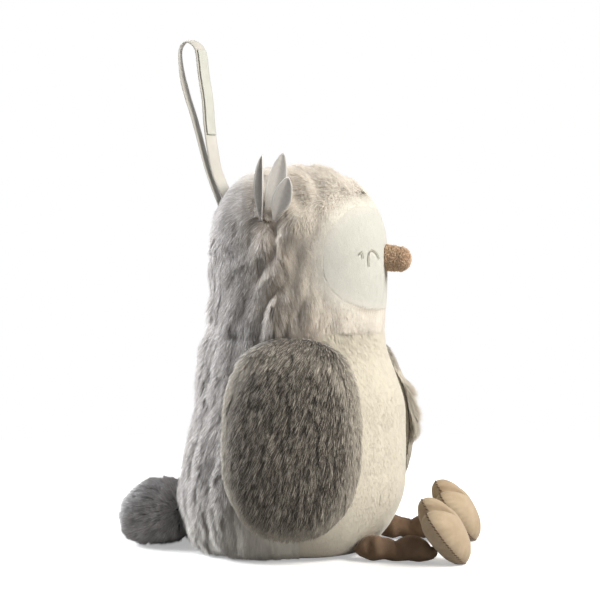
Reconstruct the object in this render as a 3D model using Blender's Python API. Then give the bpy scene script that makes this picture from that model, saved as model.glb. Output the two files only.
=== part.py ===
"""Plush owl, sitting, with floppy legs, flap wings, a stuffed tail and a ribbon loop.

Lengths are in metres, +Z is up, the owl faces -Y and its own left side is at +X.
The origin is the middle of its seat, on the surface that it sits on.
"""

import math

import bmesh
import bpy
import numpy as np
from mathutils import Matrix, Vector

MM = 0.001

# Fabrics and seams
PLUSH_BACKING = 1.6 * MM
SUEDE_THICKNESS = 1.2 * MM
FELT_THICKNESS = 1.5 * MM
RIBBON_THICKNESS = 1.0 * MM
LABEL_THICKNESS = 0.5 * MM
THREAD_RADIUS = 0.45 * MM
SEAM_GAP = 0.3 * MM

# Steps for measuring a skin's slope and for drawing a smooth route between its marks
SKIN_STEP = 0.05 * MM
ROUTE_STEPS = 12
SHARP_ANGLE = math.radians(50)

# Torso, measured to the fabric under the pile
TORSO_HEIGHT = 117 * MM
TORSO_HALF_WIDTH = 57 * MM
TORSO_BACK_DEPTH = 55.5 * MM
TORSO_FRONT_DEPTH = 56 * MM
TORSO_SQUARENESS = 2.3
TORSO_COLUMNS = 32
BELLY_COLUMNS = 14
# Height, half width, back depth and front depth from the seat to the neck
TORSO_RING_SHARES = (
    (0.000, 0.60, 0.655, 0.570),
    (0.018, 0.75, 0.790, 0.690),
    (0.050, 0.85, 0.895, 0.760),
    (0.138, 0.95, 0.983, 0.893),
    (0.250, 1.00, 1.000, 0.982),
    (0.385, 1.00, 0.955, 1.000),
    (0.515, 0.97, 0.893, 1.000),
    (0.650, 0.93, 0.860, 0.985),
    (0.785, 0.88, 0.845, 0.893),
    (0.915, 0.82, 0.820, 0.785),
    (1.000, 0.79, 0.770, 0.765),
)

# Head, whose middle sits above the neck seam
HEAD_CENTRE_RISE = 31 * MM
HEAD_CENTRE_SETBACK = -1.5 * MM
HEAD_HALF_WIDTH = 46 * MM
HEAD_FRONT_DEPTH = 45 * MM
HEAD_BACK_DEPTH = 43 * MM
HEAD_CROWN_RISE = 48 * MM
HEAD_JAW_DROP = 85 * MM
HEAD_SQUARENESS = 2.5
HEAD_COLUMNS = 32
FACE_ROW_SHARES = (0.0, 0.22, 0.44, 0.65, 0.84, 1.0)
HOOD_ROW_SHARES = (0.0, 0.1, 0.22, 0.36, 0.52, 0.7, 0.86, 1.0)

# Face panel, as angles seen from the middle of the head
FACE_SIDE_ANGLE = math.radians(65)
FACE_BROW_ANGLE = math.radians(36)
FACE_CHIN_ANGLE = math.radians(27)
FACE_SQUARENESS = 2.8

# Beak, above the middle of the head
BEAK_RISE = 2.5 * MM
BEAK_RADIUS = 6.2 * MM
BEAK_LENGTH = 13 * MM
BEAK_DROOP = math.radians(7)
BEAK_COLUMNS = 12
# How far along the beak, and how wide, from its root inside the face to its tip
BEAK_PROFILE_SHARES = ((-0.4, 0.95), (0.0, 1.0), (0.35, 1.0), (0.62, 0.9), (0.82, 0.68), (0.95, 0.36))

# Embroidered closed eyes: sideways from the middle of the face, and up from the head's middle
EYE_INNER_SHARE = 0.36
EYE_WIDTH = 10.2 * MM
EYE_FOOT_RISE = -2.2 * MM
EYE_RISE = 8.1 * MM
EYE_POINTS = 9
EYE_STROKE_SHARES = ((1.0, 0.0), (0.97, 0.5), (0.86, 0.86), (0.62, 1.0), (0.32, 0.86), (0.0, 0.5))
LASH_INNER_SHARE = 0.667
LASH_WIDTH = 2.0 * MM
LASH_FOOT_RISE = 1.8 * MM
LASH_RISE = 3.2 * MM
LASH_POINTS = 5
LASH_STROKE_SHARES = ((0.0, 0.0), (0.12, 0.7), (0.45, 1.0), (1.0, 0.6))
THREAD_SIDES = 5

# Felt feather tufts, pinched at a place above and behind the middle of the head
TUFT_RISE_SHARE = 0.42
TUFT_SETBACK_SHARE = 0.175
TUFT_CLEARANCE = 0.4 * MM
FEATHER_WIDTH = 10 * MM
FEATHER_ROOT_SPACING = 3.6 * MM
# Half width along a feather from its pinched root to its tip
FEATHER_WIDTH_SHARES = ((0.0, 0.24), (0.2, 0.62), (0.5, 1.0), (0.8, 0.72), (1.0, 0.16))
# Name, place behind the middle feather in root spacings, length, lean back, lean out, turn, fold
FEATHERS = (
    ("rear", 0.8, 32.5 * MM, math.radians(-2), math.radians(7), math.radians(-15), 1.8),
    ("middle", 0.0, 34.5 * MM, math.radians(-12.5), math.radians(-3), math.radians(16), 0.25),
    ("front", -1.0, 23.5 * MM, math.radians(-21), math.radians(17), math.radians(12), 0.35),
)

# Ribbon loop: its two ends are sewn into the back seam of the hood, one above the other
LOOP_WIDTH = 10 * MM
LOOP_RISE = 93 * MM
LOOP_REACH = 25.5 * MM
LOOP_ROOT_ANGLES = (math.radians(32), math.radians(40))
LOOP_ROOT_CLEARANCE = 0.8 * MM
# How far back and how far up from the lower end, up the rear strand, over and down the front
LOOP_ROUTE_SHARES = (
    (0.25, 0.175),
    (0.41, 0.31),
    (0.54, 0.445),
    (0.67, 0.57),
    (0.80, 0.68),
    (0.90, 0.79),
    (0.95, 0.90),
    (0.92, 0.96),
    (0.78, 0.99),
    (0.61, 0.97),
    (0.51, 0.92),
    (0.45, 0.79),
    (0.37, 0.65),
    (0.33, 0.51),
    (0.265, 0.38),
    (0.16, 0.24),
)
LOOP_SEGMENTS = 36
LOOP_REAR_TWIST = math.radians(4)
LOOP_FRONT_TWIST = math.radians(-20)
# Where along the ribbon one twist gives way to the other
LOOP_TWIST_SPAN_SHARES = (0.38, 0.58)
LABEL_WIDTH = 8 * MM
# Where the care label starts and ends along the ribbon
LABEL_SPAN_SHARES = (0.56, 0.80)

# Wings: egg-shaped flaps sewn along their top edge, a little below the neck seam
WING_TOP_DROP = 7 * MM
WING_HEM_HEIGHT = 17 * MM
WING_WIDTH = 64 * MM
WING_SQUARENESS = 2.5
WING_THICKNESS = 10 * MM
WING_EDGE_THICKNESS = 2.8 * MM
WING_LINING_THICKNESS = 1.0 * MM
WING_SEAM_CLEARANCE = 0.6 * MM
WING_HEM_CLEARANCE = 1.6 * MM
# How much flatter a wing is than the flank under it
WING_WRAP_SHARE = 1.636
WING_COLUMNS = 20
WING_ROW_SHARES = (0.0, 0.3, 0.56, 0.77, 0.91, 1.0)
# How far ahead of the flank's middle each wing is sewn; the left one sits further forward
WING_AHEAD = {"left": math.radians(28), "right": math.radians(8.5)}

# Tail: a stuffed paddle sewn low on the back
TAIL_SURFACE_CLEARANCE = 3 * MM
TAIL_LENGTH = 34.5 * MM
TAIL_WIDTH = 50 * MM
TAIL_TOP_RISE = 13.5 * MM
TAIL_BOTTOM_DROP = 14 * MM
TAIL_DROOP = math.radians(7)
TAIL_SQUARENESS = 2.6
TAIL_COLUMNS = 20

# Legs: limp suede tubes lying on the surface
LEG_SPACING = 66 * MM
LEG_ROOT_CLEARANCE = 2.5 * MM
LEG_LENGTH = 40 * MM
LEG_WIDTH = 13 * MM
LEG_HEIGHT = 11 * MM
LEG_SIDES = 10
# Along the leg, height of its middle above the surface, half width and half height
LEG_RING_SHARES = (
    (0.00, 0.50, 0.28, 0.16),
    (0.07, 0.51, 0.70, 0.62),
    (0.20, 0.52, 1.00, 0.98),
    (0.36, 0.50, 0.98, 0.90),
    (0.50, 0.41, 0.90, 0.74),
    (0.66, 0.55, 0.96, 1.02),
    (0.82, 0.48, 0.88, 0.86),
    (0.93, 0.45, 0.56, 0.60),
    (1.00, 0.58, 0.30, 0.28),
)

# Feet: three-toed pillows standing on their heels, leaned back
FOOT_LENGTH = 37.5 * MM
FOOT_WIDTH = 37 * MM
FOOT_SOLE_RISE = 10 * MM
FOOT_UPPER_RISE = 8.5 * MM
FOOT_LEAN = math.radians(35)
# Direction in degrees from the side to the middle toe, and distance from the foot's middle
FOOT_OUTLINE_SHARES = (
    (90, 1.00),
    (77, 0.92),
    (67, 0.66),
    (56, 0.76),
    (46, 0.93),
    (35, 1.00),
    (20, 0.96),
    (-2, 0.87),
    (-26, 0.82),
    (-50, 0.87),
    (-71, 0.96),
    (-90, 1.00),
)
PILLOW_ROW_SHARES = (0.0, 0.35, 0.64, 0.86, 1.0)
PILLOW_POWER = 0.55
# Turns of working out where the ankle meets the curved rear of the foot
ANKLE_TURNS = 12

SIDES = {"left": 1.0, "right": -1.0}

# Colour, roughness and metallic value of each material
FINISHES = {
    "stuffing": ((0.85, 0.84, 0.81), 0.95, 0.0),
    "back_plush": ((0.60, 0.54, 0.50), 0.95, 0.0),
    "belly_plush": ((0.80, 0.77, 0.68), 0.95, 0.0),
    "face_plush": ((0.85, 0.85, 0.79), 0.95, 0.0),
    "wing_plush": ((0.11, 0.10, 0.09), 0.95, 0.0),
    "lining_plush": ((0.55, 0.52, 0.48), 0.95, 0.0),
    "tail_plush": ((0.09, 0.09, 0.09), 0.95, 0.0),
    "beak_boucle": ((0.38, 0.23, 0.13), 0.95, 0.0),
    "suede": ((0.62, 0.49, 0.34), 0.9, 0.0),
    "felt": ((0.40, 0.38, 0.36), 0.95, 0.0),
    "ribbon": ((0.78, 0.77, 0.73), 0.7, 0.0),
    "label_satin": ((0.82, 0.82, 0.79), 0.45, 0.0),
    "eye_thread": ((0.20, 0.20, 0.15), 0.6, 0.0),
}


def clear_scene():
    for item in list(bpy.data.objects):
        bpy.data.objects.remove(item, do_unlink=True)


def material(finish):
    found = bpy.data.materials.get(finish)
    if found:
        return found
    colour, roughness, metallic = FINISHES[finish]
    made = bpy.data.materials.new(finish)
    made.use_nodes = True
    shader = made.node_tree.nodes["Principled BSDF"]
    shader.inputs["Base Color"].default_value = (*colour, 1.0)
    shader.inputs["Roughness"].default_value = roughness
    shader.inputs["Metallic"].default_value = metallic
    made.diffuse_color = (*colour, 1.0)
    return made


def pivot_empty(name, place):
    """An empty on a joint's axis, which carries the pieces that turn there."""
    empty = bpy.data.objects.new(name, None)
    empty.location = place
    bpy.context.collection.objects.link(empty)
    return empty


def make_object(name, points, faces, finish, pivot=None):
    """One closed solid, with its faces turned outward, hung on its pivot if it has one."""
    mesh = bpy.data.meshes.new(name)
    shift = pivot.location if pivot else Vector((0, 0, 0))
    mesh.from_pydata([Vector(point) - shift for point in points], [], faces)
    work = bmesh.new()
    work.from_mesh(mesh)
    bmesh.ops.recalc_face_normals(work, faces=work.faces)
    work.to_mesh(mesh)
    work.free()
    mesh.shade_smooth()
    mesh.set_sharp_from_angle(angle=SHARP_ANGLE)
    mesh.materials.append(material(finish))
    made = bpy.data.objects.new(name, mesh)
    bpy.context.collection.objects.link(made)
    if pivot:
        made.parent = pivot
    return made


def cutter(name, points, faces):
    made = make_object(name, points, faces, "stuffing")
    made.hide_render = True
    made.display_type = "WIRE"
    return made


def cut(piece, tool):
    step = piece.modifiers.new("cut_" + tool.name, "BOOLEAN")
    step.operation = "DIFFERENCE"
    step.solver = "EXACT"
    step.object = tool


def ring_faces(lower, upper, wraps):
    """Triangles between two rows of point numbers, where a row of one number is a tip.

    Every layer splits its squares along the same diagonal, so nested layers stay apart.
    """
    if len(lower) == 1 and len(upper) == 1:
        return []
    count = max(len(lower), len(upper))
    faces = []
    for here in range(count if wraps else count - 1):
        after = (here + 1) % count
        if len(lower) == 1:
            faces.append((lower[0], upper[after], upper[here]))
        elif len(upper) == 1:
            faces.append((lower[here], lower[after], upper[0]))
        else:
            faces.append((lower[here], lower[after], upper[after]))
            faces.append((lower[here], upper[after], upper[here]))
    return faces


def panel(name, outer, inner, finish, wraps=False, pivot=None):
    """A closed sheet between two grids of points that match row by row.

    A row of one point is a tip, and a panel that wraps joins its last column to its first.
    """
    points = []
    numbers = []
    for grid in (outer, inner):
        rows = []
        for row in grid:
            rows.append(list(range(len(points), len(points) + len(row))))
            points.extend(row)
        numbers.append(rows)
    faces = []
    for rows in numbers:
        for lower, upper in zip(rows, rows[1:]):
            faces.extend(ring_faces(lower, upper, wraps))
    for end in (0, -1):
        faces.extend(ring_faces(numbers[0][end], numbers[1][end], wraps))
    if not wraps:
        for end in (0, -1):
            for row in range(len(outer) - 1):
                outside = [numbers[0][row][end], numbers[0][row + 1][end]]
                inside = [numbers[1][row + 1][end], numbers[1][row][end]]
                faces.append(outside + inside)
    return make_object(name, points, faces, finish, pivot)


def bag(rows):
    """Points and faces of a closed bag made of rings, each end a tip or a flat cap."""
    points = []
    numbers = []
    for row in rows:
        numbers.append(list(range(len(points), len(points) + len(row))))
        points.extend(row)
    faces = []
    for lower, upper in zip(numbers, numbers[1:]):
        faces.extend(ring_faces(lower, upper, True))
    for end in (0, -1):
        if len(numbers[end]) > 1:
            faces.append(tuple(numbers[end]))
    return points, faces


def smooth_table(table, column, place):
    """Read a column of a table at a place in its first column, along a smooth curve."""
    marks = [row[0] for row in table]
    values = [row[column] for row in table]
    place = min(max(place, marks[0]), marks[-1])
    slopes = []
    for here in range(len(marks)):
        low = max(here - 1, 0)
        high = min(here + 1, len(marks) - 1)
        slopes.append((values[high] - values[low]) / (marks[high] - marks[low]))
    for here in range(len(marks) - 1):
        if place <= marks[here + 1]:
            break
    span = marks[here + 1] - marks[here]
    along = (place - marks[here]) / span
    return (
        values[here] * (1 + 2 * along) * (1 - along) ** 2
        + slopes[here] * span * along * (1 - along) ** 2
        + values[here + 1] * along**2 * (3 - 2 * along)
        + slopes[here + 1] * span * along**2 * (along - 1)
    )


def smooth_route(marks, count):
    """Evenly spaced points along a smooth curve through the marks."""
    marks = [Vector(mark) for mark in marks]
    fine = []
    for here in range(len(marks) - 1):
        before = marks[max(here - 1, 0)]
        start = marks[here]
        end = marks[here + 1]
        after = marks[min(here + 2, len(marks) - 1)]
        for step in range(ROUTE_STEPS):
            along = step / ROUTE_STEPS
            fine.append(
                0.5
                * (
                    2 * start
                    + (end - before) * along
                    + (2 * before - 5 * start + 4 * end - after) * along**2
                    + (3 * start - before - 3 * end + after) * along**3
                )
            )
    fine.append(marks[-1])
    lengths = np.cumsum([0.0] + [(b - a).length for a, b in zip(fine, fine[1:])])
    route = []
    for wanted in np.linspace(0.0, lengths[-1], count):
        here = min(int(np.searchsorted(lengths, wanted, side="right")) - 1, len(fine) - 2)
        along = (wanted - lengths[here]) / (lengths[here + 1] - lengths[here])
        route.append(fine[here].lerp(fine[here + 1], along))
    return route


def tangents(route):
    last = len(route) - 1
    return [(route[min(i + 1, last)] - route[max(i - 1, 0)]).normalized() for i in range(last + 1)]


def gradient_normal(field, point):
    """Outward direction of a body at a point, from the field that is 1 on its skin."""
    slope = []
    for axis in range(3):
        shift = Vector((0, 0, 0))
        shift[axis] = SKIN_STEP
        slope.append(field(point + shift) - field(point - shift))
    return Vector(slope).normalized()


def torso_sizes(height):
    share = height / TORSO_HEIGHT
    return (
        TORSO_HALF_WIDTH * smooth_table(TORSO_RING_SHARES, 1, share),
        TORSO_BACK_DEPTH * smooth_table(TORSO_RING_SHARES, 2, share),
        TORSO_FRONT_DEPTH * smooth_table(TORSO_RING_SHARES, 3, share),
    )


def torso_field(point):
    width, back, front = torso_sizes(point.z)
    depth = back if point.y > 0 else front
    return abs(point.x / width) ** TORSO_SQUARENESS + abs(point.y / depth) ** TORSO_SQUARENESS


def torso_point(column, height, lift):
    """A point round the torso: column 0 is the middle of the belly, lift is off the skin."""
    angle = 2 * math.pi * column / TORSO_COLUMNS
    width, back, front = torso_sizes(height)
    side = math.sin(angle)
    ahead = math.cos(angle)
    depth = front if ahead > 0 else back
    power = TORSO_SQUARENESS
    reach = (abs(side / width) ** power + abs(ahead / depth) ** power) ** (-1 / power)
    point = Vector((reach * side, -reach * ahead, height))
    return point + gradient_normal(torso_field, point) * lift


def torso_heights():
    marks = [share[0] * TORSO_HEIGHT for share in TORSO_RING_SHARES]
    marks[-1] = TORSO_HEIGHT - SEAM_GAP / 2
    return marks


def torso_panel(name, first, last, finish):
    """A skin panel from one column to another, open by the seam gap on both sides."""
    ease = SEAM_GAP / 2 / TORSO_HALF_WIDTH * TORSO_COLUMNS / (2 * math.pi)
    columns = [first + ease] + list(range(first + 1, last)) + [last - ease]
    grids = []
    for lift in (0.0, -PLUSH_BACKING):
        rows = [[torso_point(column, height, lift) for column in columns] for height in torso_heights()]
        grids.append(rows)
    return panel(name, grids[0], grids[1], finish)


def build_torso():
    edge = BELLY_COLUMNS // 2
    torso_panel("belly_panel", -edge, edge, "belly_plush")
    torso_panel("back_panel_left", edge, TORSO_COLUMNS // 2, "back_plush")
    torso_panel("back_panel_right", -TORSO_COLUMNS // 2, -edge, "back_plush")

    rows = []
    floor = PLUSH_BACKING + SEAM_GAP
    for height in torso_heights():
        ring = [torso_point(column, height, -floor) for column in range(TORSO_COLUMNS)]
        for point in ring:
            point.z = max(point.z, floor)
        rows.append(ring)
    top = TORSO_HEIGHT - SEAM_GAP / 2
    for point in rows[-1]:
        point.z = top
    points, faces = bag(rows)
    make_object("torso_stuffing", points, faces, "stuffing")

    base_bottom = [torso_point(column, 0, 0) for column in range(TORSO_COLUMNS)]
    rows = []
    for height, inset in ((0, 2 * SEAM_GAP), (PLUSH_BACKING, 2 * SEAM_GAP + 1.5 * PLUSH_BACKING)):
        ring = []
        for point in base_bottom:
            flat = Vector((point.x, point.y, 0))
            kept = flat.length - inset
            ring.append(flat.normalized() * kept + Vector((0, 0, height)))
        rows.append(ring)
    points, faces = bag(rows)
    make_object("base_panel", points, faces, "belly_plush")


def head_middle():
    return Vector((0, HEAD_CENTRE_SETBACK, TORSO_HEIGHT + HEAD_CENTRE_RISE))


def head_field(point):
    away = point - head_middle()
    depth = HEAD_BACK_DEPTH if away.y > 0 else HEAD_FRONT_DEPTH
    rise = HEAD_CROWN_RISE if away.z > 0 else HEAD_JAW_DROP
    power = HEAD_SQUARENESS
    return abs(away.x / HEAD_HALF_WIDTH) ** power + abs(away.y / depth) ** power + abs(away.z / rise) ** power


def head_point(direction, lift):
    """The skin of the head in a direction from its middle, lifted off along its normal."""
    reach = head_field(head_middle() + direction) ** (-1 / HEAD_SQUARENESS)
    point = head_middle() + direction * reach
    return point + gradient_normal(head_field, point) * lift


def look(side_angle, up_angle):
    """A direction from the head's middle, straight ahead at angles of zero."""
    return Vector(
        (
            math.cos(up_angle) * math.sin(side_angle),
            -math.cos(up_angle) * math.cos(side_angle),
            math.sin(up_angle),
        )
    )


def face_edge(column):
    """Side and up angle of the face panel's edge; column 0 is under the chin, left first."""
    turn = 2 * math.pi * column / HEAD_COLUMNS
    side = math.sin(turn)
    up = -math.cos(turn)
    side_share = math.copysign(abs(side) ** (2 / FACE_SQUARENESS), side)
    up_share = math.copysign(abs(up) ** (2 / FACE_SQUARENESS), up)
    return side_share * FACE_SIDE_ANGLE, up_share * (FACE_BROW_ANGLE if up > 0 else FACE_CHIN_ANGLE)


def face_direction(column, share):
    side, up = face_edge(column)
    return look(side * share, up * share)


def hood_direction(column, share):
    """From the face panel's edge, straight back to the middle of the back of the head."""
    edge = look(*face_edge(column))
    around = Vector((edge.x, 0, edge.z)).normalized()
    start = math.acos(-edge.y)
    angle = start + (math.pi - start) * share
    return around * math.sin(angle) + Vector((0, -math.cos(angle), 0))


def head_rings(lift):
    """Rings of points round the whole head from the tip of the face to the back."""
    rows = []
    for share in FACE_ROW_SHARES[:-1]:
        columns = range(HEAD_COLUMNS) if share > 0 else range(1)
        rows.append([head_point(face_direction(column, share), lift) for column in columns])
    for share in HOOD_ROW_SHARES:
        columns = range(HEAD_COLUMNS) if share < 1 else range(1)
        rows.append([head_point(hood_direction(column, share), lift) for column in columns])
    return rows


def build_head():
    low = TORSO_HEIGHT + SEAM_GAP / 2
    span = 2 * HEAD_HALF_WIDTH
    square = ((-span, -span), (span, -span), (span, span), (-span, span))
    rings = [[Vector((x, y, height)) for x, y in square] for height in (low - HEAD_JAW_DROP, low)]
    neck_cutter = cutter("neck_cutter", *bag(rings))

    ease = SEAM_GAP / 2 / HEAD_FRONT_DEPTH
    face_rows = []
    for lift in (0.0, -PLUSH_BACKING):
        rows = []
        for share in FACE_ROW_SHARES:
            columns = range(HEAD_COLUMNS) if share > 0 else range(1)
            kept = share if share < 1 else 1 - ease
            rows.append([head_point(face_direction(column, kept), lift) for column in columns])
        face_rows.append(rows)
    panel("face_panel", face_rows[0], face_rows[1], "face_plush", wraps=True)

    half = HEAD_COLUMNS // 2
    for side, sign in SIDES.items():
        grids = []
        columns = range(half + 1) if sign > 0 else range(half, HEAD_COLUMNS + 1)
        for lift in (0.0, -PLUSH_BACKING):
            rows = []
            for share in HOOD_ROW_SHARES:
                kept = share if share > 0 else ease
                row = [head_point(hood_direction(column, kept), lift) for column in columns]
                for point in row:
                    point.x = sign * max(sign * point.x, SEAM_GAP / 2)
                rows.append(row)
            rows[-1] = rows[-1][:1]
            grids.append(rows)
        cut(panel("hood_" + side, grids[0], grids[1], "back_plush"), neck_cutter)

    points, faces = bag(head_rings(-PLUSH_BACKING - SEAM_GAP))
    cut(make_object("head_stuffing", points, faces, "stuffing"), neck_cutter)


def build_beak():
    points, faces = bag(head_rings(SEAM_GAP))
    face_cutter = cutter("face_cutter", points, faces)
    up_angle = math.asin(BEAK_RISE / HEAD_FRONT_DEPTH)
    root = head_point(look(0, up_angle), 0)
    ahead = Vector((0, -math.cos(BEAK_DROOP), -math.sin(BEAK_DROOP)))
    up = Vector((0, -math.sin(BEAK_DROOP), math.cos(BEAK_DROOP)))
    side = Vector((1, 0, 0))

    def rings(inset):
        rows = []
        for along, wide in BEAK_PROFILE_SHARES:
            middle = root + ahead * (BEAK_LENGTH - inset) * along
            radius = (BEAK_RADIUS - inset) * wide
            row = []
            for column in range(BEAK_COLUMNS):
                turn = 2 * math.pi * column / BEAK_COLUMNS
                row.append(middle + side * radius * math.cos(turn) + up * radius * math.sin(turn))
            rows.append(row)
        rows.append([root + ahead * (BEAK_LENGTH - inset)])
        return rows

    cut(panel("beak_cover", rings(0), rings(SUEDE_THICKNESS), "beak_boucle", wraps=True), face_cutter)
    points, faces = bag(rings(SUEDE_THICKNESS + SEAM_GAP))
    cut(make_object("beak_stuffing", points, faces, "stuffing"), face_cutter)


def thread(name, sign, marks, count):
    """An embroidered stroke on the face, through points given sideways and up from its middle."""
    route = []
    normals = []
    for mark in smooth_route([(sideways, 0, up) for sideways, up in marks], count):
        rise = mark.z / HEAD_CROWN_RISE
        across = mark.x / HEAD_HALF_WIDTH
        power = HEAD_SQUARENESS
        depth = HEAD_FRONT_DEPTH * (1 - abs(across) ** power - abs(rise) ** power) ** (1 / power)
        point = head_middle() + Vector((sign * mark.x, -depth, mark.z))
        normal = gradient_normal(head_field, point)
        route.append(point + normal * (THREAD_RADIUS + SEAM_GAP))
        normals.append(normal)
    rows = []
    for point, normal, along in zip(route, normals, tangents(route)):
        across = along.cross(normal).normalized()
        row = []
        for column in range(THREAD_SIDES):
            turn = 2 * math.pi * column / THREAD_SIDES
            row.append(point + THREAD_RADIUS * (across * math.cos(turn) + normal * math.sin(turn)))
        rows.append(row)
    points, faces = bag(rows)
    make_object(name, points, faces, "eye_thread")


def build_eyes():
    eye_inner = EYE_INNER_SHARE * HEAD_HALF_WIDTH
    eye = [(eye_inner + EYE_WIDTH * a, EYE_FOOT_RISE + EYE_RISE * b) for a, b in EYE_STROKE_SHARES]
    lash_inner = LASH_INNER_SHARE * HEAD_HALF_WIDTH
    lash = [(lash_inner + LASH_WIDTH * a, LASH_FOOT_RISE + LASH_RISE * b) for a, b in LASH_STROKE_SHARES]
    for side, sign in SIDES.items():
        thread("eye_" + side, sign, eye, EYE_POINTS)
        thread("lash_" + side, sign, lash, LASH_POINTS)


def tuft_root(sign, behind=0.0):
    """Where a feather is pinched, just off the side of the head and this far behind the middle one."""
    power = HEAD_SQUARENESS
    setback = TUFT_SETBACK_SHARE + behind / HEAD_BACK_DEPTH
    width = HEAD_HALF_WIDTH * (1 - TUFT_RISE_SHARE**power - setback**power) ** (1 / power)
    away = Vector((sign * width, setback * HEAD_BACK_DEPTH, TUFT_RISE_SHARE * HEAD_CROWN_RISE))
    point = head_middle() + away
    reach = TUFT_CLEARANCE + FELT_THICKNESS / 2
    return point + gradient_normal(head_field, point) * reach


def build_tufts():
    for side, sign in SIDES.items():
        pivot = pivot_empty("tuft_" + side + "_axis", tuft_root(sign))
        for name, place, length, lean_back, lean_out, turn, fold in FEATHERS:
            root = tuft_root(sign, place * FEATHER_ROOT_SPACING)
            along = Vector((sign * math.sin(lean_out), math.sin(lean_back), math.cos(lean_back))).normalized()
            flat = Vector((sign * math.sin(turn), math.cos(turn), 0))
            flat = (flat - along * flat.dot(along)).normalized()
            normal = along.cross(flat) * sign
            grids = []
            for level in (0.5, -0.5):
                rows = []
                for share, wide in FEATHER_WIDTH_SHARES:
                    half = FEATHER_WIDTH / 2 * wide / math.hypot(1, fold)
                    row = []
                    for across in (-1, 0, 1):
                        bend = -abs(across) * fold * half
                        row.append(
                            root
                            + along * length * share
                            + flat * half * across
                            + normal * (bend + level * FELT_THICKNESS)
                        )
                    rows.append(row)
                grids.append(rows)
            panel("feather_" + side + "_" + name, grids[0], grids[1], "felt", pivot=pivot)


def loop_route():
    """The ribbon's middle line in the plane of the back seam, from its lower end round."""
    ends = []
    for angle in LOOP_ROOT_ANGLES:
        direction = Vector((0, math.cos(angle), math.sin(angle)))
        ends.append(head_point(direction, LOOP_ROOT_CLEARANCE))
    start = ends[0]
    marks = [start]
    for back, up in LOOP_ROUTE_SHARES:
        marks.append(start + Vector((0, LOOP_REACH * back, LOOP_RISE * up)))
    marks.append(ends[1])
    return smooth_route(marks, LOOP_SEGMENTS + 1)


def ribbon_grids(first, last, width, low, high):
    """Two matching strips along part of the ribbon's route, at two heights off its middle."""
    route = loop_route()
    directions = tangents(route)
    grids = ([], [])
    for here in range(first, last + 1):
        start, end = LOOP_TWIST_SPAN_SHARES
        blend = min(max((here / LOOP_SEGMENTS - start) / (end - start), 0), 1)
        twist = LOOP_REAR_TWIST + (LOOP_FRONT_TWIST - LOOP_REAR_TWIST) * blend
        turn = Matrix.Rotation(-twist, 3, directions[here])
        across = turn @ Vector((1, 0, 0))
        normal = across.cross(directions[here])
        for grid, level in zip(grids, (low, high)):
            grid.append([route[here] + across * width * side + normal * level for side in (-0.5, 0.5)])
    return grids


def build_loop():
    root = head_point(Vector((0, math.cos(LOOP_ROOT_ANGLES[0]), math.sin(LOOP_ROOT_ANGLES[0]))), 0)
    pivot = pivot_empty("loop_axis", root)
    half = RIBBON_THICKNESS / 2
    strip = ribbon_grids(0, LOOP_SEGMENTS, LOOP_WIDTH, -half, half)
    panel("hang_loop", strip[0], strip[1], "ribbon", pivot=pivot)
    first, last = [round(share * LOOP_SEGMENTS) for share in LABEL_SPAN_SHARES]
    low = -half - SEAM_GAP
    strip = ribbon_grids(first, last, LABEL_WIDTH, low - LABEL_THICKNESS, low)
    panel("care_label", strip[0], strip[1], "label_satin", pivot=pivot)


def wing_surface(side, forward, height):
    """The inner face of a wing: it follows the flank but wraps less than the body does.

    Forward is measured from the wing's middle, in the wing's own direction.
    """
    angle = WING_AHEAD[side]
    width, _, front = torso_sizes(height)
    power = TORSO_SQUARENESS
    flank = (abs(math.cos(angle) / width) ** power + abs(math.sin(angle) / front) ** power) ** (-1 / power)
    wrap_radius = WING_WRAP_SHARE * max(TORSO_FRONT_DEPTH, TORSO_BACK_DEPTH) ** 2 / TORSO_HALF_WIDTH
    out = flank * math.sqrt(1 - (forward / wrap_radius) ** 2)
    across = out * math.cos(angle) - forward * math.sin(angle)
    ahead = out * math.sin(angle) + forward * math.cos(angle)
    return Vector((SIDES[side] * across, -ahead, height))


def wing_point(side, column, share, lift):
    turn = 2 * math.pi * column / WING_COLUMNS
    ahead = math.copysign(abs(math.cos(turn)) ** (2 / WING_SQUARENESS), math.cos(turn))
    up = math.copysign(abs(math.sin(turn)) ** (2 / WING_SQUARENESS), math.sin(turn))
    drop = (1 - up * share) / 2
    top = TORSO_HEIGHT - WING_TOP_DROP
    height = top - (top - WING_HEM_HEIGHT) * drop
    forward = WING_WIDTH / 2 * ahead * share
    point = wing_surface(side, forward, height)
    along = wing_surface(side, forward + SKIN_STEP, height) - point
    rise = wing_surface(side, forward, height + SKIN_STEP) - point
    normal = rise.cross(along).normalized()
    if normal.x * SIDES[side] < 0:
        normal = -normal
    clearance = WING_SEAM_CLEARANCE + (WING_HEM_CLEARANCE - WING_SEAM_CLEARANCE) * drop
    return point + normal * (clearance + lift)


def wing_thickness(share):
    puff = math.sqrt(max(1 - share**2, 0))
    return WING_EDGE_THICKNESS + (WING_THICKNESS - WING_EDGE_THICKNESS) * puff


def wing_seam(side):
    """The middle of a wing's top edge, on its inner face, where the line that it turns about runs."""
    return wing_point(side, WING_COLUMNS / 4, 1, 0)


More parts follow.
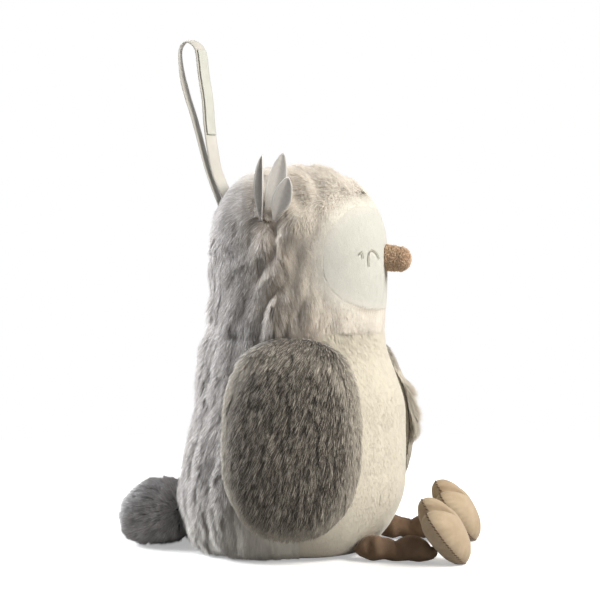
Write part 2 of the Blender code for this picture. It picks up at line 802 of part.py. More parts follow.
def build_wings():
    def grid(side, shares, lift_at):
        rows = []
        for share in shares:
            columns = range(WING_COLUMNS) if share > 0 else range(1)
            rows.append([wing_point(side, column, share, lift_at(share)) for column in columns])
        return rows

    for side in SIDES:
        pivot = pivot_empty("wing_" + side + "_axis", wing_seam(side))
        lining = WING_LINING_THICKNESS
        outer = grid(side, WING_ROW_SHARES, lambda share: lining)
        inner = grid(side, WING_ROW_SHARES, lambda share: 0)
        panel("wing_" + side + "_lining", outer, inner, "lining_plush", wraps=True, pivot=pivot)
        outer = grid(side, WING_ROW_SHARES, wing_thickness)
        inner = grid(side, WING_ROW_SHARES, lambda share: wing_thickness(share) - SUEDE_THICKNESS)
        panel("wing_" + side + "_cover", outer, inner, "wing_plush", wraps=True, pivot=pivot)
        shares = WING_ROW_SHARES[:-1]
        outer = grid(side, shares, lambda share: wing_thickness(share) - SUEDE_THICKNESS - SEAM_GAP)
        inner = grid(side, shares, lambda share: lining + SEAM_GAP)
        panel("wing_" + side + "_wadding", outer, inner, "stuffing", wraps=True, pivot=pivot)


def dome_share(share):
    """Height of a pillow's half at a share of the way out to its seam."""
    return (1 - share**2) ** PILLOW_POWER


def pillow(names, middle, across, along, outline, rises, thickness, finishes, pivot):
    """A two-part pillow and its stuffing, on a flat seam line round its middle.

    The outline gives each corner as sideways and lengthways distances; rises are the heights
    of the front and the rear half.
    """
    normal = across.cross(along).normalized()

    def dome(inset, rise, gap):
        rows = []
        for share in PILLOW_ROW_SHARES:
            height = (abs(rise) - inset) * dome_share(share)
            height = max(height, gap / 2) * math.copysign(1, rise)
            row = []
            for sideways, lengthways in outline if share > 0 else outline[:1]:
                reach = math.hypot(sideways, lengthways)
                kept = share * (reach - inset) / reach
                row.append(middle + across * sideways * kept + along * lengthways * kept + normal * height)
            rows.append(row)
        return rows

    for name, rise, finish in zip(names, rises, finishes):
        panel(name, dome(0, rise, SEAM_GAP), dome(thickness, rise, SEAM_GAP), finish, wraps=True, pivot=pivot)
    fill = thickness + SEAM_GAP
    front, rear = [dome(fill, rise, 2 * SEAM_GAP) for rise in rises]
    panel(names[2], front, rear, finishes[2], wraps=True, pivot=pivot)


def build_tail():
    along = Vector((0, math.cos(TAIL_DROOP), -math.sin(TAIL_DROOP)))
    height = TAIL_SURFACE_CLEARANCE + TAIL_BOTTOM_DROP * along.y - TAIL_LENGTH / 2 * along.z
    _, back, _ = torso_sizes(height)
    pivot = pivot_empty("tail_axis", Vector((0, back + 2 * SEAM_GAP, height)))
    outline = []
    for column in range(TAIL_COLUMNS):
        turn = 2 * math.pi * column / TAIL_COLUMNS
        sideways = math.copysign(abs(math.cos(turn)) ** (2 / TAIL_SQUARENESS), math.cos(turn))
        lengthways = math.copysign(abs(math.sin(turn)) ** (2 / TAIL_SQUARENESS), math.sin(turn))
        outline.append((TAIL_WIDTH / 2 * sideways, TAIL_LENGTH / 2 * lengthways))
    pillow(
        ("tail_top_panel", "tail_bottom_panel", "tail_stuffing"),
        pivot.location + along * TAIL_LENGTH / 2,
        Vector((1, 0, 0)),
        along,
        outline,
        (TAIL_TOP_RISE, -TAIL_BOTTOM_DROP),
        PLUSH_BACKING,
        ("tail_plush", "tail_plush", "stuffing"),
        pivot,
    )


def leg_root(sign):
    """The pinched end of a leg, just ahead of the torso's skin at the leg's own place."""
    height = LEG_RING_SHARES[0][1] * LEG_HEIGHT
    width, _, front = torso_sizes(height)
    power = TORSO_SQUARENESS
    depth = front * (1 - (LEG_SPACING / 2 / width) ** power) ** (1 / power)
    return Vector((sign * LEG_SPACING / 2, -depth - LEG_ROOT_CLEARANCE, height))


def foot_frame(sign):
    """Middle of a foot, its sideways and toeward directions, and the ankle point behind it.

    The heel stands on the surface, and the ankle meets the foot's rear wherever that brings it.
    """
    across = Vector((1, 0, 0))
    along = Vector((0, math.sin(FOOT_LEAN), math.cos(FOOT_LEAN)))
    front = across.cross(along)
    half = FOOT_LENGTH / 2
    depths = [front.z * FOOT_UPPER_RISE * dome_share(share) for share in PILLOW_ROW_SHARES]
    height = max(along.z * half * share + depth for share, depth in zip(PILLOW_ROW_SHARES, depths)) + SEAM_GAP
    ankle = leg_root(sign) + Vector((0, -LEG_LENGTH, 0))
    ankle.z = LEG_RING_SHARES[-1][1] * LEG_HEIGHT
    drop = 0
    for _ in range(ANKLE_TURNS):
        depth = FOOT_UPPER_RISE * dome_share(drop / half) + 1.5 * SEAM_GAP
        drop = (height - ankle.z - front.z * depth) / along.z
    middle = ankle + along * drop + front * depth
    return middle, across, along, ankle


def leg_rings(root, inset):
    """Rings round a leg from its pinched root to its pinched end, drawn in by an inset."""
    route = [Vector((root.x, root.y - LEG_LENGTH * row[0], LEG_HEIGHT * row[1])) for row in LEG_RING_SHARES]
    side = Vector((1, 0, 0))
    rows = []
    for centre, direction, (_, _, wide, tall) in zip(route, tangents(route), LEG_RING_SHARES):
        up = direction.cross(side)
        row = []
        for column in range(LEG_SIDES):
            turn = 2 * math.pi * column / LEG_SIDES
            sideways = (LEG_WIDTH / 2 * wide - inset) * math.cos(turn)
            upward = (LEG_HEIGHT / 2 * tall - inset) * math.sin(turn)
            row.append(centre + side * sideways + up * upward)
        rows.append(row)
    return rows


def build_legs():
    for side, sign in SIDES.items():
        root = leg_root(sign)
        pivot = pivot_empty("hip_" + side + "_axis", root)

        wall = SUEDE_THICKNESS / 2
        outer, inner = leg_rings(root, 0), leg_rings(root, wall)
        panel("leg_" + side + "_sleeve", outer, inner, "suede", wraps=True, pivot=pivot)
        points, faces = bag(leg_rings(root, wall + SEAM_GAP)[1:-1])
        make_object("leg_" + side + "_filling", points, faces, "stuffing", pivot)

        middle, across, along, ankle = foot_frame(sign)
        pivot = pivot_empty("ankle_" + side + "_axis", ankle)
        half = FOOT_LENGTH / 2
        outline = []
        for angle, reach in FOOT_OUTLINE_SHARES:
            turn = math.radians(angle)
            outline.append((FOOT_WIDTH / 2 * reach * math.cos(turn), half * reach * math.sin(turn)))
        mirrored = [(-sideways, lengthways) for sideways, lengthways in outline[1:-1]]
        outline = outline + mirrored[::-1]
        pillow(
            ("foot_" + side + "_sole", "foot_" + side + "_upper", "foot_" + side + "_stuffing"),
            middle,
            across,
            along,
            outline,
            (FOOT_SOLE_RISE, -FOOT_UPPER_RISE),
            SUEDE_THICKNESS,
            ("suede", "suede", "stuffing"),
            pivot,
        )


def main():
    clear_scene()
    build_torso()
    build_head()
    build_beak()
    build_eyes()
    build_tufts()
    build_loop()
    build_wings()
    build_tail()
    build_legs()


main()
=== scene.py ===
# %% [markdown]
# # A plush owl
# A sitting owl of long plush, felt, faux suede and ribbon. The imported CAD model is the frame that
# everything is built on: each sewn piece of the real toy is made again here where its plain solid is,
# with its pile, seams and stitches, and rides on the same moving body. The size of the solids is kept,
# because cloth may stand only a little proud of them.

import math

import bmesh
import bpy
import numpy as np
from mathutils import Matrix, Vector


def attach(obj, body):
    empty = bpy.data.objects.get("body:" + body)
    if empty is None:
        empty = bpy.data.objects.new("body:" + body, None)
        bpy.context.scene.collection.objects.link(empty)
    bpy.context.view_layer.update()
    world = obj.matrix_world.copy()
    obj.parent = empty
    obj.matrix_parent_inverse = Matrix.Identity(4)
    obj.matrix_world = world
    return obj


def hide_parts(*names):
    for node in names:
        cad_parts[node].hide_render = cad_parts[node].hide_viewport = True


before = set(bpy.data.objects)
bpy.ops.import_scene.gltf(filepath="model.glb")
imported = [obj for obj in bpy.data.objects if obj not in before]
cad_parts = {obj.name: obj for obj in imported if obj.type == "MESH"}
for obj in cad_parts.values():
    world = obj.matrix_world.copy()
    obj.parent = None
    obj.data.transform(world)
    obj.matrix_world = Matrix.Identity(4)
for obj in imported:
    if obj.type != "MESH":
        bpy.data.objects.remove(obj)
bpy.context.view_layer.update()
scene = bpy.context.scene
MM = 0.001
SIDES = {"left": 1.0, "right": -1.0}
ACROSS = np.array([1.0, 0.0, 0.0])
BACK = np.array([0.0, 1.0, 0.0])
UP = np.array([0.0, 0.0, 1.0])

# %% [markdown]
# ## The eye, the light and the floor
# The photograph looks level at the owl's right side, a little from the front, from under a metre away.
# The camera could be aimed at the middle of the owl, but then the seat and the crown would lean, so it
# stays level and the lens is shifted instead, as a product photographer does.

# %% Camera
PHOTO_SIDE = 600
PHOTO_SCALE = 0.522 * MM
EYE_DISTANCE = 801 * MM
EYE_HEIGHT = 145 * MM
EYE_TURN = math.radians(11)
AXIS_PIXEL = 297
HORIZON_PIXEL = 268

lens = bpy.data.cameras.new("eye")
lens.lens = lens.sensor_width * EYE_DISTANCE / (PHOTO_SIDE * PHOTO_SCALE)
lens.shift_x = 0.5 - AXIS_PIXEL / PHOTO_SIDE
lens.shift_y = HORIZON_PIXEL / PHOTO_SIDE - 0.5
eye = bpy.data.objects.new("eye", lens)
eye.location = (-EYE_DISTANCE * math.cos(EYE_TURN), -EYE_DISTANCE * math.sin(EYE_TURN), EYE_HEIGHT)
eye.rotation_euler = (math.pi / 2, 0, EYE_TURN - math.pi / 2)
scene.collection.objects.link(eye)
scene.camera = eye
scene.view_settings.view_transform = "Standard"
print("lens", round(lens.lens, 1), "mm")

# %% [markdown]
# Node trees are written as sums. A wire is one socket, and adding or multiplying wires adds the Math
# node that does it: numbers use Math, and colours and directions use Vector Math, because Math would
# turn them grey. Every other node comes from one method, which takes the node's type, its settings and
# the values or wires of its sockets.

# %% Wires


def operator(operation, reflected=False):
    """A Python operator on wires, which adds the node of one operation."""

    def work(self, other):
        return self.sum_with(operation, other, self) if reflected else self.sum_with(operation, self, other)

    return work


class Wire:
    """One socket of a node tree, usable in sums."""

    __add__ = operator("ADD")
    __radd__ = operator("ADD", reflected=True)
    __sub__ = operator("SUBTRACT")
    __rsub__ = operator("SUBTRACT", reflected=True)
    __mul__ = operator("MULTIPLY")
    __rmul__ = operator("MULTIPLY", reflected=True)
    __truediv__ = operator("DIVIDE")
    __rtruediv__ = operator("DIVIDE", reflected=True)
    __pow__ = operator("POWER")
    __rpow__ = operator("POWER", reflected=True)
    at_least = operator("MAXIMUM")
    at_most = operator("MINIMUM")

    def __init__(self, bench, socket):
        self.bench = bench
        self.socket = socket

    def sum_with(self, operation, first, second):
        pair = [first, second]
        wide = any(isinstance(v, Wire) and v.socket.type in ("VECTOR", "RGBA") for v in pair)
        if wide:
            pair = [v if isinstance(v, (Wire, tuple)) else (v, v, v) for v in pair]
        kind = "ShaderNodeVectorMath" if wide else "ShaderNodeMath"
        return self.bench.node(kind, {"operation": operation}, {0: pair[0], 1: pair[1]})

    def clipped(self):
        return self.at_least(0.0).at_most(1.0)

    def dot(self, other):
        pair = {0: self, 1: other}
        return self.bench.node("ShaderNodeVectorMath", {"operation": "DOT_PRODUCT"}, pair, "Value")

    def scaled_to(self, length):
        way = self.bench.node("ShaderNodeVectorMath", {"operation": "NORMALIZE"}, {0: self})
        return way * length

    def wave(self):
        return self.bench.node("ShaderNodeMath", {"operation": "SINE"}, {0: self})


# %% The bench that lays them


class Bench:
    """Adds nodes to a tree."""

    def __init__(self, tree):
        self.tree = tree

    def pick(self, sockets, key):
        if isinstance(key, int):
            return sockets[key]
        named = [socket for socket in sockets if socket.name == key]
        return next((socket for socket in named if socket.enabled), named[0])

    def node(self, kind, settings=None, inputs=None, out=None):
        """Makes a node; an input is a value, a wire, or a list of wires for a socket that takes many."""
        made = self.tree.nodes.new(kind)
        for name, value in (settings or {}).items():
            setattr(made, name, value)
        for key, value in (inputs or {}).items():
            socket = self.pick(made.inputs, key)
            if isinstance(value, (Wire, list)):
                for wire in value if isinstance(value, list) else [value]:
                    self.tree.links.new(wire.socket, socket)
            else:
                socket.default_value = value
        if isinstance(out, tuple):
            return [Wire(self, self.pick(made.outputs, key)) for key in out]
        if out is None:
            shown = [socket for socket in made.outputs if socket.enabled]
            return Wire(self, shown[0]) if shown else None
        return Wire(self, self.pick(made.outputs, out))

    def mix(self, share, first, second):
        colours = [v if isinstance(v, Wire) else (*v, 1.0) for v in (first, second)]
        return self.node(
            "ShaderNodeMix", {"data_type": "RGBA"}, {"Factor": share, "A": colours[0], "B": colours[1]}
        )

    def noise(self, place, size, detail=2.0, distortion=0.0):
        inputs = {"Vector": place, "Scale": 1 / size, "Detail": detail, "Distortion": distortion}
        return self.node("ShaderNodeTexNoise", {}, inputs, "Fac")

    def attribute(self, name):
        return self.node("ShaderNodeAttribute", {"attribute_name": name}, {}, "Fac")

    def split(self, place):
        return self.node("ShaderNodeSeparateXYZ", {}, {0: place}, ("X", "Y", "Z"))

    def join(self, x, y, z):
        return self.node("ShaderNodeCombineXYZ", {}, {"X": x, "Y": y, "Z": z})

    def background_rays(self):
        """1 for a ray that shows what is behind the owl, straight to the camera or in a shiny part."""
        rays = ("Is Camera Ray", "Is Glossy Ray", "Is Transmission Ray")
        camera, glossy, through_glass = self.node("ShaderNodeLightPath", {}, {}, rays)
        return camera.at_least(glossy).at_least(through_glass)


# %% Colours and materials


def paint(red, green, blue):
    """A colour as it is read off a picture, 0 to 255, turned into light."""
    shares = [value / 255 for value in (red, green, blue)]
    return tuple(v / 12.92 if v <= 0.04045 else ((v + 0.055) / 1.055) ** 2.4 for v in shares)


def new_finish(name):
    """An empty material: its bench and the place that the pattern is read from."""
    made = bpy.data.materials.new(name)
    made.use_nodes = True
    made.node_tree.nodes.clear()
    bench = Bench(made.node_tree)
    return made, bench, bench.node("ShaderNodeTexCoord", {}, {}, "Object")


def close_finish(bench, colour, roughness, height=None, bump=0.0, depth=0.1 * MM, **constants):
    """Gives a material its shader; height, if there is one, feeds a bump."""
    inputs = {"Base Color": colour, "Roughness": roughness}
    for name, value in constants.items():
        inputs[name.replace("_", " ").title().replace("Ior", "IOR")] = value
    if height is not None:
        inputs["Normal"] = bench.node(
            "ShaderNodeBump", {}, {"Height": height, "Strength": bump, "Distance": depth}
        )
    shader = bench.node("ShaderNodeBsdfPrincipled", {}, inputs)
    bench.node("ShaderNodeOutputMaterial", {}, {"Surface": shader})


# %% [markdown]
# The light is a soft studio set: a warm panel in front of the owl, a cool one behind its back, and pale
# walls all round. The camera sees pure white where there is nothing, and so do shiny parts, without any
# more light falling on the toy.

# %% Walls
WALL_LIGHT = 0.15

world = bpy.data.worlds.new("studio")
scene.world = world
world.use_nodes = True
world.node_tree.nodes.clear()
bench = Bench(world.node_tree)
walls = bench.node("ShaderNodeBackground", {}, {"Color": (1, 1, 1, 1), "Strength": WALL_LIGHT})
white = bench.node("ShaderNodeBackground", {}, {"Color": (1, 1, 1, 1), "Strength": 1.0})
both = bench.node("ShaderNodeMixShader", {}, {0: bench.background_rays(), 1: walls, 2: white})
bench.node("ShaderNodeOutputWorld", {}, {"Surface": both})

# %% Lamps
# Name, place in metres, size, strength and colour
LAMPS = (
    ("front panel", (-0.24, -1.0, 0.8), 0.75, 20.0, (1.0, 0.965, 0.9)),
    ("back panel", (0.0, 1.1, 0.65), 0.7, 25.0, (0.95, 0.97, 1.0)),
)
AIM = Vector((0, 0, 0.12))

for name, place, size, strength, colour in LAMPS:
    lamp = bpy.data.lights.new(name, "AREA")
    lamp.size = size
    lamp.energy = strength
    lamp.color = colour
    holder = bpy.data.objects.new(name, lamp)
    holder.location = place
    holder.rotation_euler = (AIM - Vector(place)).to_track_quat("-Z", "Y").to_euler()
    scene.collection.objects.link(holder)

# %% [markdown]
# The floor is a wide pale disc. Close to the owl it is a real lit surface that takes its shadow, and
# further out it fades into the white walls, so that no horizon shows.

# %% Floor
FLOOR_RADIUS = 3.0
FLOOR_SIDES = 96
FLOOR_CLEAR = 0.28
FLOOR_FADE = 0.55

turns = [2 * math.pi * step / FLOOR_SIDES for step in range(FLOOR_SIDES)]
rim = [(FLOOR_RADIUS * math.cos(turn), FLOOR_RADIUS * math.sin(turn), 0) for turn in turns]
floor_mesh = bpy.data.meshes.new("floor")
floor_mesh.from_pydata(rim, [], [tuple(range(FLOOR_SIDES))])
floor = bpy.data.objects.new("floor", floor_mesh)
scene.collection.objects.link(floor)
finish, bench, place = new_finish("floor paper")
far = bench.node("ShaderNodeVectorMath", {"operation": "LENGTH"}, {0: place}, "Value")
fade = ((far - FLOOR_CLEAR) / (FLOOR_FADE - FLOOR_CLEAR)).clipped()
lit = bench.node("ShaderNodeBsdfDiffuse", {}, {"Color": (0.9, 0.9, 0.9, 1)})
dim = bench.node("ShaderNodeBsdfDiffuse", {}, {"Color": (0.35, 0.34, 0.33, 1)})
lift = bench.node("ShaderNodeEmission", {}, {"Color": (1, 1, 1, 1), "Strength": 0.4})
near = bench.node("ShaderNodeAddShader", {}, {0: lit, 1: lift})
clear = bench.node("ShaderNodeEmission", {}, {"Color": (1, 1, 1, 1), "Strength": 1.0})
shown = bench.node("ShaderNodeMixShader", {}, {0: fade, 1: near, 2: clear})
both = bench.node("ShaderNodeMixShader", {}, {0: bench.background_rays(), 1: dim, 2: shown})
bench.node("ShaderNodeOutputMaterial", {}, {"Surface": both})
floor_mesh.materials.append(finish)

# %% [markdown]
# ## Cloth as grids of points
# Every sewn piece here is a sheet with a thickness: two matching grids of points, joined round their
# rims into one closed shell. A grid can be worked out densely from the same rule as the plain solid, so
# the new piece lies exactly where the solid is, only smoother. Rows that meet in a pole are merged.

# %% Sheets and curves
POLE_AREA = 1e-12


def through(table, column, place):
    """Values of a table's column at places in its first column, along a smooth curve."""
    marks = np.array([row[0] for row in table], float)
    values = np.array([row[column] for row in table], float)
    ahead = np.minimum(np.arange(len(marks)) + 1, len(marks) - 1)
    behind = np.maximum(np.arange(len(marks)) - 1, 0)
    slopes = (values[ahead] - values[behind]) / (marks[ahead] - marks[behind])
    place = np.clip(place, marks[0], marks[-1])
    here = np.clip(np.searchsorted(marks, place) - 1, 0, len(marks) - 2)
    span = marks[here + 1] - marks[here]
    along = (place - marks[here]) / span
    return (
        values[here] * (1 + 2 * along) * (1 - along) ** 2
        + slopes[here] * span * along * (1 - along) ** 2
        + values[here + 1] * along**2 * (3 - 2 * along)
        + slopes[here + 1] * span * along**2 * (along - 1)
    )


def unit(vectors):
    lengths = np.linalg.norm(vectors, axis=-1, keepdims=True)
    return vectors / np.maximum(lengths, 1e-12)


def smooth_step(low, high, value):
    share = np.clip((value - low) / (high - low), 0, 1)
    return share * share * (3 - 2 * share)


def squared(share, power):
    """A sine or cosine drawn out into a squarer outline."""
    return np.copysign(np.abs(share) ** (2 / power), share)


def new_piece(name, mesh):
    piece = bpy.data.objects.new(name, mesh)
    scene.collection.objects.link(piece)
    return piece


def tidy_shell(mesh):
    work = bmesh.new()
    work.from_mesh(mesh)
    bmesh.ops.remove_doubles(work, verts=work.verts, dist=2e-6)
    bmesh.ops.dissolve_degenerate(work, edges=work.edges, dist=1e-7)
    bmesh.ops.recalc_face_normals(work, faces=work.faces)
    work.to_mesh(mesh)
    work.free()
    mesh.shade_smooth()


def set_numbers(mesh, name, values):
    values = np.asarray(values, np.float32)
    kind = "FLOAT_VECTOR" if values.ndim == 2 else "FLOAT"
    made = mesh.attributes.get(name) or mesh.attributes.new(name, kind, "POINT")
    made.data.foreach_set("vector" if values.ndim == 2 else "value", values.ravel())


def get_numbers(mesh, name):
    made = mesh.attributes[name]
    wide = made.data_type == "FLOAT_VECTOR"
    values = np.zeros(len(mesh.vertices) * (3 if wide else 1), np.float32)
    made.data.foreach_get("vector" if wide else "value", values)
    return values.reshape(-1, 3).astype(float) if wide else values.astype(float)


def places_of(mesh):
    values = np.zeros(len(mesh.vertices) * 3, np.float32)
    mesh.vertices.foreach_get("co", values)
    return values.reshape(-1, 3).astype(float)


def grid_normals(outer, inner, closes):
    """The way out of a grid at each point, from its neighbours; rims don't bend it as a mesh's own would."""
    down = np.gradient(outer, axis=0)
    if closes:
        along = (np.roll(outer, -1, axis=1) - np.roll(outer, 1, axis=1)) / 2
    else:
        along = np.gradient(outer, axis=1)
    normals = np.cross(down, along)
    flat = np.linalg.norm(normals, axis=-1) < POLE_AREA
    normals = unit(normals)
    normals[0] = np.where(flat[0][:, None], normals[1].mean(axis=0), normals[0])
    normals[-1] = np.where(flat[-1][:, None], normals[-2].mean(axis=0), normals[-1])
    side = np.sum(normals * (outer - inner), axis=-1, keepdims=True)
    return unit(normals) * np.sign(np.median(side))


def squares(numbers):
    """The faces between the points of a grid, from the grid of their numbers."""
    corners = (numbers[:-1, :-1], numbers[1:, :-1], numbers[1:, 1:], numbers[:-1, 1:])
    return np.stack(corners, -1).reshape(-1, 4)


def shell(name, outer, inner, closes=False, notes=None):
    """A closed sheet between two grids of points; it marks its outer side for the pile to grow on.

    Notes are more grids of numbers, kept on the outer side's points.
    """
    rows, columns = outer.shape[:2]
    numbers = np.arange(rows * columns).reshape(rows, columns)
    if closes:
        numbers = np.concatenate([numbers, numbers[:, :1]], axis=1)
    offset = rows * columns
    faces = [squares(numbers), squares(numbers)[:, ::-1] + offset]
    edges = [numbers[0], numbers[-1][::-1]]
    if not closes:
        edges += [numbers[:, 0][::-1], numbers[:, -1]]
    for edge in edges:
        faces.append(np.stack((edge[:-1], edge[1:], edge[1:] + offset, edge[:-1] + offset), -1))
    points = np.concatenate([outer.reshape(-1, 3), inner.reshape(-1, 3)])
    mesh = bpy.data.meshes.new(name)
    mesh.from_pydata(points.tolist(), [], np.concatenate(faces).tolist())
    set_numbers(mesh, "outside", np.repeat([1.0, 0.0], offset))
    set_numbers(mesh, "skin", np.tile(grid_normals(outer, inner, closes).reshape(-1, 3), (2, 1)))
    for label, grid in (notes or {}).items():
        set_numbers(mesh, label, np.tile(np.asarray(grid, float).ravel(), 2))
    tidy_shell(mesh)
    return new_piece(name, mesh)


def lumps(points, size, seed, waves=12):
    """Slow waves through space, about -1 to 1, of this size in metres along X, Y and Z."""
    luck = np.random.default_rng(seed)
    total = np.zeros(points.shape[:-1])
    for _ in range(waves):
        way = unit(luck.normal(size=3)) * luck.uniform(0.7, 1.5) * 2 * math.pi
        total = total + np.sin((points / np.asarray(size)) @ way + luck.uniform(0, 2 * math.pi))
    return total / math.sqrt(waves)

# %% [markdown]
# ## Pile
# Real plush is a knitted backing with fibres standing in it, brushed one way. A particle system could
# show that, but it would be lost on the way out of Blender, and a bump would leave the outline bare. So
# a Geometry Nodes tree plants thin, tapered blades of mesh on the backing. The backing's points say
# which way the pile is combed, how far it stands up and how long it is; the tree draws neighbouring
# blades together into locks, lets a few stray, and makes them all one mesh with the backing.

# %% Three blades, each a narrow roof that shows a face from every side
BLADE_DROP = 0.55
BLADE_WAISTS = {"low": 0.36, "middle": 0.46, "high": 0.56}


def blade(name, waist):
    """Two triangles that share the ridge from root to tip; the waist is where they are widest."""
    mesh = bpy.data.meshes.new(name)
    corners = [(0, 0, 0), (-0.5, -BLADE_DROP, waist), (0.5, -BLADE_DROP, waist), (0, 0, 1)]
    mesh.from_pydata(corners, [], [(0, 1, 3), (0, 3, 2)])
    set_numbers(mesh, "along", np.array([0.0, waist, waist, 1.0]))
    mesh.shade_smooth()
    return bpy.data.objects.new(name, mesh)


blades = [blade("blade_" + name, waist) for name, waist in BLADE_WAISTS.items()]
print(len(blades), "kinds of blade")

# %% A Geometry Nodes tree and what its nodes are often asked for


class TreeBench(Bench):
    """A bench for a Geometry Nodes tree, with the tree's named inputs as wires."""

    def __init__(self, name, inputs, output):
        """Inputs are rows of label, kind and value; the value is None where there is no default."""
        super().__init__(bpy.data.node_groups.new(name, "GeometryNodeTree"))
        sockets = self.tree.interface
        for label, kind, value in inputs:
            socket = sockets.new_socket(label, in_out="INPUT", socket_type="NodeSocket" + kind)
            if value is not None:
                socket.default_value = value
        sockets.new_socket(output, in_out="OUTPUT", socket_type="NodeSocketGeometry")
        labels = tuple(row[0] for row in inputs)
        self.given = dict(zip(labels, self.node("NodeGroupInput", {}, {}, labels)))

    def noted(self, name, kind="FLOAT"):
        """Numbers kept on the points of the piece that the tree works on."""
        return self.node("GeometryNodeInputNamedAttribute", {"data_type": kind}, {"Name": name}, "Attribute")

    def random(self, kind, low, high, seed):
        inputs = {"Min": low, "Max": high, "Seed": seed}
        return self.node("FunctionNodeRandomValue", {"data_type": kind}, inputs)

    def scattered(self, cover, per_area, seed):
        """Points and their turns on the outer side of a cover."""
        inputs = {"Mesh": cover, "Density": per_area * self.noted("outside"), "Seed": seed}
        return self.node("GeometryNodeDistributePointsOnFaces", {}, inputs, ("Points", "Rotation"))

    def keep(self, points, name, value):
        """Keeps a number on the points, for a material to read."""
        inputs = {"Geometry": points, "Name": name, "Value": value}
        return self.node("GeometryNodeStoreNamedAttribute", {"data_type": "FLOAT", "domain": "POINT"}, inputs)

    def shape(self, piece):
        return self.node("GeometryNodeObjectInfo", {}, {"Object": piece}, "Geometry")

    def aimed(self, axis, way, turn=None, pivot=None):
        """A turn that points one axis along a way, by turning about the pivot axis if there is one."""
        settings = {"axis": axis} if pivot is None else {"axis": axis, "pivot_axis": pivot}
        inputs = {"Vector": way} if turn is None else {"Rotation": turn, "Vector": way}
        return self.node("FunctionNodeAlignRotationToVector", settings, inputs, "Rotation")

    def spun(self, turn, spin):
        return self.node(
            "FunctionNodeRotateRotation", {"rotation_space": "LOCAL"}, {"Rotation": turn, "Rotate By": spin}
        )

    def planted(self, points, shape, turn, size, cover=None, **more):
        """Real copies of a shape on points, in one mesh with the cover that they stand on."""
        inputs = {"Points": points, "Instance": shape, "Rotation": turn, "Scale": size}
        inputs.update({label.replace("_", " ").title(): value for label, value in more.items()})
        copies = self.node("GeometryNodeInstanceOnPoints", {}, inputs)
        real = self.node("GeometryNodeRealizeInstances", {}, {"Geometry": copies})
        return self.node("GeometryNodeJoinGeometry", {}, {0: [real, cover]}) if cover else real

    def finished(self, output, geometry):
        """Gives everything its material and ends the tree."""
        inputs = {"Geometry": geometry, "Material": self.given["Finish"]}
        dressed = self.node("GeometryNodeSetMaterial", {}, inputs)
        self.node("NodeGroupOutput", {}, {output: dressed})
        return self.tree


def apply_tree(piece, tree, values):
    """Runs a tree on a piece with these inputs and keeps the result as a plain mesh."""
    step = piece.modifiers.new(tree.name, "NODES")
    step.node_group = tree
    for item in tree.interface.items_tree:
        if item.in_out == "INPUT" and item.name in values:
            step[item.identifier] = values[item.name]
    graph = bpy.context.evaluated_depsgraph_get()
    made = bpy.data.meshes.new_from_object(piece.evaluated_get(graph), depsgraph=graph)
    piece.modifiers.clear()
    old = piece.data
    piece.data = made
    bpy.data.meshes.remove(old)
    made.name = piece.name
    print(piece.name, len(made.polygons), "faces")
    return piece


# %% The tree that plants pile
PILE_INPUTS = (
    ("Backing", "Geometry", None),
    ("Blades per square metre", "Float", 4e6),
    ("Blade length", "Float", 8 * MM),
    ("Blade width", "Float", 0.4 * MM),
    ("Lock size", "Float", 6 * MM),
    ("Lock stretch", "Float", 2.2),
    ("Lock pull", "Float", 0.5),
    ("Lock relief", "Float", 0.0),
    ("Sway size", "Float", 25 * MM),
    ("Sway", "Float", 0.5),
    ("Stray", "Float", 0.15),
    ("Softness", "Float", 0.75),
    ("Lowest", "Float", 0.2 * MM),
    ("Seed", "Int", 1),
    ("Finish", "Material", None),
)
LENGTH_RANGE = (0.8, 1.1)
RISE_RANGE = (0.82, 1.12)
WIDTH_RANGE = (0.7, 1.3)


